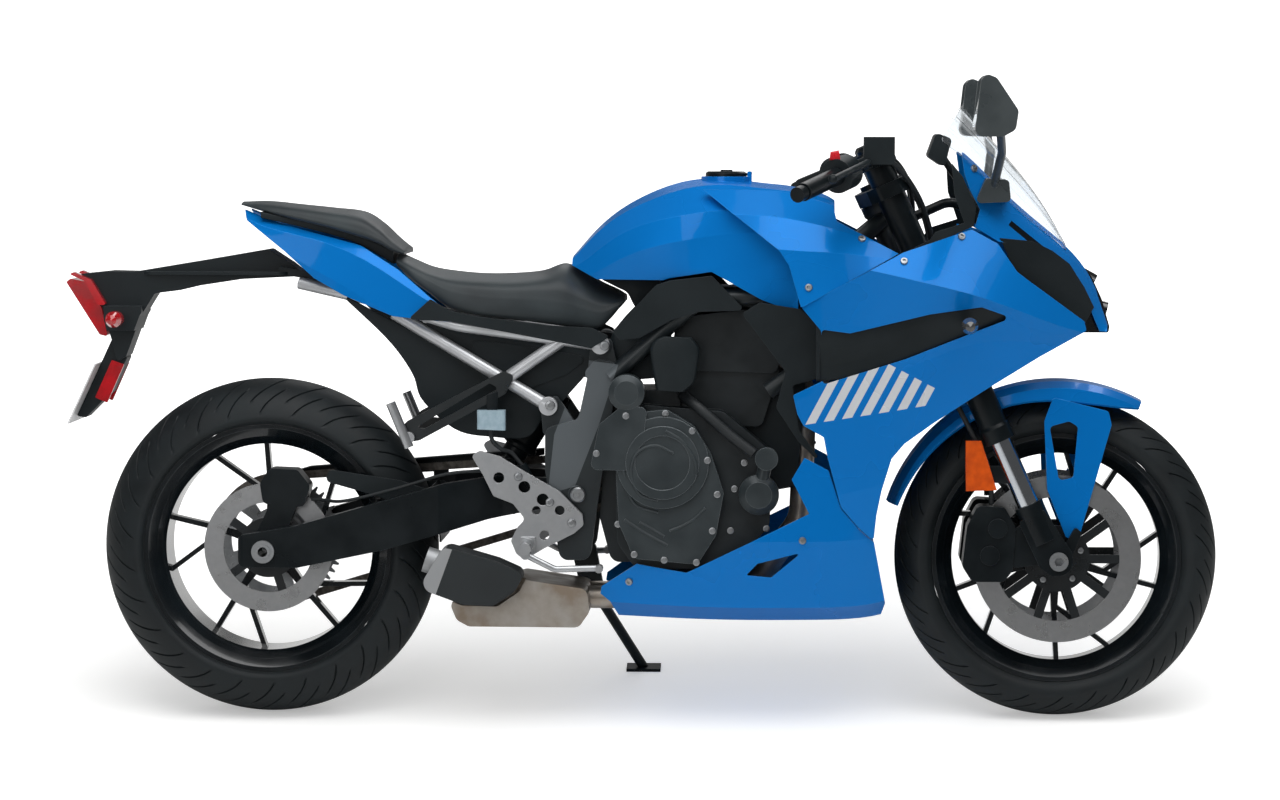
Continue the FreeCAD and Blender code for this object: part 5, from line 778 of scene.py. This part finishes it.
# Panels: name, lower and upper line of the side view, the distances across the bike between which each lies, and
# for the thick ones the sections' count and the radius of their edges
PANELS = (
    ("inner_mudguard",
     ((150, 776), (229, 700), (272, 640), (291, 590), (353, 536), (420, 523), (485, 523), (515, 560)),
     ((152, 782), (235, 738), (300, 704), (360, 673), (430, 636), (470, 616), (500, 600), (519, 590)),
     ((-96, -92), (96, 92))),
    ("air_box",
     ((738, 634), (742, 683), (765, 743), (820, 754), (890, 759), (962, 708)),
     ((638, 626), (638, 705), (690, 770), (740, 796), (880, 796), (958, 742)), ((-95, 95),), 40, 10),
    ("relay_box",
     ((726, 615), (719, 650), (715, 690), (724, 706), (738, 713)),
     ((776, 612), (795, 630), (801, 660), (804, 690), (790, 711)), ((-146, -172),), 30, 7),
    ("pillion_base",
     ((-10, 927), (60, 911), (120, 896), (176, 876), (236, 842)),
     ((-10, 938), (60, 923), (120, 909), (176, 893), (236, 867)), ((-76, 76),)),
    ("frame_infill",
     ((270, 716), (350, 676), (440, 628), (540, 578)),
     ((270, 742), (400, 725), (520, 708), (640, 690)), ((-101, -97), (101, 97))),
    ("tank_base",
     ((622, 812), (650, 798), (668, 788), (684, 762), (704, 770), (728, 794)),
     ((622, 817), (650, 817), (668, 817), (688, 817), (706, 817), (728, 817)), ((-45, 45),)),
    ("pipe_guard",
     ((888, 430), (930, 424), (984, 432)),
     ((888, 655), (940, 650), (1000, 640)), ((-78, -74), (78, 74))),
)
COWL_LIP = (((1284, 886), (1320, 876), (1366, 858)), ((1284, 914), (1320, 905), (1366, 886)))


class BIKE_OT_panels(bpy.types.Operator):
    """Moulded panels, boxes and guards that fill the bike's dark hollows."""

    bl_idname = "bike.panels"
    bl_label = "Panels"

    def execute(self, context):
        """Thin panels, the air box under the tank, the relay box on lugs beside the head, and the cowl's lip."""
        lugs = {"relay_box": [hose([(x, y, 680) for y in (-103, -127, -150)], 8, 6) for x in (768, 788)]}
        for name, low, high, spans, *form in PANELS:
            plates = [slab(low, high, near, far, *form) for near, far in spans]
            piece(name, plates + lugs.get(name, []), "plastic")
        piece("cowl_lip", [slab(*COWL_LIP, 132 * side, 128 * side) for side in (-1, 1)], "paint")
        return {"FINISHED"}


# Points that the hoses and cables pass; the first three have twins on the left
UPPER_BRAKE = ((1107, -200, 1030), (1124, -176, 1040), (1157, -147, 1030), (1186, -130, 998), (1212, -98, 952),
               (1229, -75, 894), (1229, -58, 836), (1239, -58, 814))
LOWER_BRAKE = ((1342, -93, 402), (1341, -96, 430), (1332, -104, 480), (1275, -103, 592), (1222, -98, 705),
               (1214, -72, 746), (1207, -60, 768))
CABLE = ((1092, -190, 1018), (1128, -158, 1044), (1162, -122, 1034), (1188, -92, 992), (1196, -66, 936),
         (1188, -54, 886), (1168, -48, 850))
COOLANT = ((776, -97, 600), (776, -124, 600), (806, -158, 580), (862, -166, 532), (905, -172, 500))
FEED = ((422, -155, 546), (424, -153, 522), (440, -142, 504), (458, -130, 496), (478, -127, 472))
REAR_BRAKE = ((498, -127, 430), (470, -124, 460), (400, -129, 462), (335, -132, 456), (240, -131, 428),
              (150, -126, 406), (108, -100, 405), (84, -86, 405))
MASTER_CYLINDER = ((476, -127, 474), (489, -127, 449), (502, -127, 424))
BOTTLE = (((397, 542), (397, 560), (397, 577)), ((449, 540), (449, 560), (449, 577)))
BOTTLE_TAB = (((414, 570), (414, 604)), ((434, 570), (434, 611)))


class BIKE_OT_hoses(bpy.types.Operator):
    """Brake hoses, cables, the water hose and the rear brake's bottle."""

    bl_idname = "bike.hoses"
    bl_label = "Hoses"

    def execute(self, context):
        """Round tubes on smooth curves between their fittings."""
        grids = []
        for line, radius in ((UPPER_BRAKE, 5), (LOWER_BRAKE, 5), (CABLE, 4)):
            tube = hose(line, radius, 70)
            grids += [tube, mirrored(tube)]
        piece("brake_hoses", grids, "soft_rubber", "steering")
        piece("water_hose", [hose(COOLANT, radius=10, count=50)], "soft_rubber")
        rear = [hose(FEED, radius=4, count=40), hose(REAR_BRAKE, radius=3, count=80)]
        piece("rear_brake_hoses", rear, "soft_rubber")
        piece("fluid_bottle", [slab(*BOTTLE, -142, -168, 16, 5)], "bottle")
        grids = [hose(MASTER_CYLINDER, 10, 12), slab(*BOTTLE_TAB, -151.5, -155.3, 10, 1)]
        piece("rear_master_cylinder", grids, "black_metal")
        return {"FINISHED"}


# Raised ridges of the clutch cover in the side view
RIDGES = (((696, 373), (720, 360), (741, 347)), ((668, 378), (705, 354), (747, 331)),
          ((744, 542), (774, 523), (797, 489), (800, 461)), ((730, 391), (685, 410), (667, 469)),
          ((730, 414), (696, 426), (681, 467), (691, 501), (724, 515), (758, 501)),
          ((816, 400), (794, 379), (772, 366), (751, 358)))
REFLECTOR = (((1294, 428), (1293, 475), (1293, 521)), ((1351, 430), (1337, 475), (1322, 521)))
REFLECTOR_STAY = (((1300, 446), (1372, 441)), ((1300, 474), (1358, 474)))
STOP_SWITCH = (((1040, 1036), (1060, 1036)), ((1042, 1051), (1057, 1054)))
MIRROR_GLASS = (((1295.2, 1096), (1297.2, 1096)), ((1307.8, 1168), (1309.8, 1168)))


class BIKE_OT_trim(bpy.types.Operator):
    """Ridges of the clutch cover, reflectors, switch and mirror glass."""

    bl_idname = "bike.trim"
    bl_label = "Trim"

    def execute(self, context):
        """Small moulded and cast forms that lie on the solids."""
        grids = []
        for line in RIDGES:
            spots = [on_surface(("engine_covers",), x, z, sink=1.2)[0] for x, z in line]
            grids.append(hose(spots, radius=3.2, count=26, sides=10))
        piece("cover_ridges", grids, "covers")
        stays = [slab(*REFLECTOR_STAY, 104 * side, 112 * side, 10, 1) for side in (-1, 1)]
        piece("reflector_stays", stays, "black_metal", "steering")
        reflector = slab(*REFLECTOR, -112, -122, 12, 2.5)
        piece("fork_reflectors", [reflector, mirrored(reflector)], "amber", "steering")
        piece("stop_switch", [slab(*STOP_SWITCH, -230, -248, 10, 3)], "switch", "steering")
        glass = slab(*MIRROR_GLASS, -273, -389, 10, 0.6)
        piece("mirror_glasses", [glass, mirrored(glass)], "mirror")
        return {"FINISHED"}


# Fasteners' heads as rows of radius and height, in shares of the head's radius
SCREW = ((0, -0.1), (1.0, -0.1), (1.0, 0.35), (0.86, 0.55), (0.5, 0.6), (0.5, 0.2), (0, 0.2))
BOLT = ((0, -0.1), (1.35, -0.1), (1.35, 0.22), (1.25, 0.3), (0.95, 0.3), (0.95, 1.05), (0.85, 1.15), (0, 1.15))
PLUG = ((0, -0.1), (1.0, -0.1), (1.0, 0.3), (0.85, 0.45), (0.62, 0.45), (0.58, 0.3), (0.3, 0.3), (0.25, 0.42),
        (0, 0.42))
# Places of the fasteners in the side view, and the panels' solids
PANEL_SCREWS = (("tank_shrouds", 1004, 805), ("tank_shrouds", 1100, 892), ("side_fairings", 1176, 853),
                ("side_fairings", 1281, 897), ("nose_cowl", 1305, 1020), ("belly_pan", 994, 342),
                ("belly_pan", 676, 261))
BRACKET_BOLTS = ((530, 407), (570, 369), (472, 454))
SUBFRAME_BOLTS = ((530, 585), (630, 695))
ENGINE_BOLTS = ((743, 573), (792, 542), (820, 488), (838, 425), (829, 358), (800, 300), (741, 304), (686, 314),
                (655, 367), (887, 481), (869, 433), (862, 356), (928, 360), (671, 569), (617, 500))
PIVOT = (581, 420)
# The front rotors' screws: circle's radius, distance across the bike, first angle and count
ROTOR_CIRCLE, ROTOR_SCREW_Y, ROTOR_START, ROTOR_COUNT = 46, -74.0, 20, 5


def fasteners(places, radius, profile=SCREW, flats=(4, 5), sides=24):
    """Heads turned round the way out of the surface at each place. Some of the profile's rows follow a hexagon,
    whose radius is the cosine of 30 degrees over the cosine of the angle from the nearest flat's middle."""
    profile = np.array(profile) * radius
    angle = np.linspace(0, 2 * math.pi, sides, endpoint=False)
    spread = np.repeat(profile[:, :1], sides, 1)
    spread[list(flats)] *= math.cos(math.pi / 6) / np.cos((angle + math.pi / 6) % (math.pi / 3) - math.pi / 6)
    grids = []
    for centre, way in places:
        axis = unit(np.asarray(way, float))
        first = unit(np.cross(np.array((0.0, 0.0, 1.0)) if abs(axis[2]) < 0.9 else AHEAD, axis))
        turn = np.cos(angle)[:, None] * first + np.sin(angle)[:, None] * np.cross(axis, first)
        grids.append(np.asarray(centre, float) + spread[..., None] * turn + profile[:, 1][:, None, None] * axis)
    return grids


def on_both_sides(places):
    """The same fasteners on the bike's left too."""
    return places + [(mirrored(spot), mirrored(way)) for spot, way in places]


class BIKE_OT_screws(bpy.types.Operator):
    """Screws of the panels, the engine and the rotors."""

    bl_idname = "bike.screws"
    bl_label = "Screws"

    def execute(self, context):
        """Stainless button heads and flanged bolts, in groups that share a finish."""
        angles = [math.radians(360 / ROTOR_COUNT * number + ROTOR_START) for number in range(ROTOR_COUNT)]
        rotor = [((WHEELBASE + ROTOR_CIRCLE * math.cos(angle), ROTOR_SCREW_Y,
                   FRONT_RADIUS + ROTOR_CIRCLE * math.sin(angle)), (0, -1, 0)) for angle in angles]
        panels = [on_surface((node,), x, z) for node, x, z in PANEL_SCREWS]
        engine = [on_surface(("engine_covers", "engine_block"), x, z) for x, z in ENGINE_BOLTS]
        brackets = [on_surface(("footrests",), x, z) for x, z in BRACKET_BOLTS]
        tubes = [on_surface(("subframe",), x, z) for x, z in SUBFRAME_BOLTS]
        pivot = [on_surface(("main_frame",), *PIVOT)]
        piece("front_rotor_screws", fasteners(on_both_sides(rotor), 6), "steel", "front_wheel")
        for name, grids in (("panel_screws", fasteners(on_both_sides(panels), context.scene.bike_sizes.screw)),
                            ("engine_bolts", fasteners(engine, 4.6, BOLT, (4, 5, 6))),
                            ("bracket_bolts", fasteners(brackets, 8)),
                            ("subframe_bolts", fasteners(on_both_sides(tubes), 9)),
                            ("pivot_cap", fasteners(pivot, 14, PLUG, ()))):
            piece(name, grids, "steel")
        return {"FINISHED"}


class BIKE_PT_panel(bpy.types.Panel):
    """Lists the bike's makers."""

    bl_idname = "BIKE_PT_panel"
    bl_label = "Sport bike"
    bl_space_type = "VIEW_3D"
    bl_region_type = "UI"
    bl_category = "Bike"

    def draw(self, context):
        """One button for each operator, then the colours and sizes."""
        layout = self.layout
        for operator in OPERATORS:
            layout.operator(operator.bl_idname)
        for group in (context.scene.bike_colours, context.scene.bike_sizes):
            for name in group.bl_rna.properties.keys():
                if name not in ("rna_type", "name"):
                    layout.prop(group, name)


OPERATORS = (BIKE_OT_stage, BIKE_OT_finishes, BIKE_OT_tyres, BIKE_OT_seats, BIKE_OT_panels, BIKE_OT_hoses,
             BIKE_OT_trim, BIKE_OT_screws)
CLASSES = (BikeColours, BikeSizes) + OPERATORS + (BIKE_PT_panel,)


def register():
    """Adds the classes and the scene's groups of sizes and colours."""
    for item in CLASSES:
        bpy.utils.register_class(item)
    bpy.types.Scene.bike_colours = PointerProperty(type=BikeColours)
    bpy.types.Scene.bike_sizes = PointerProperty(type=BikeSizes)


def unregister():
    """Takes them away again."""
    del bpy.types.Scene.bike_sizes
    del bpy.types.Scene.bike_colours
    for item in reversed(CLASSES):
        bpy.utils.unregister_class(item)


def main():
    """Dresses the bike in order."""
    register()
    bpy.context.scene.view_settings.view_transform = "Standard"
    bpy.ops.bike.stage()
    bpy.ops.bike.finishes()
    bpy.ops.bike.tyres()
    bpy.ops.bike.seats()
    bpy.ops.bike.panels()
    bpy.ops.bike.hoses()
    bpy.ops.bike.trim()
    bpy.ops.bike.screws()


if __name__ == "__main__":
    main()
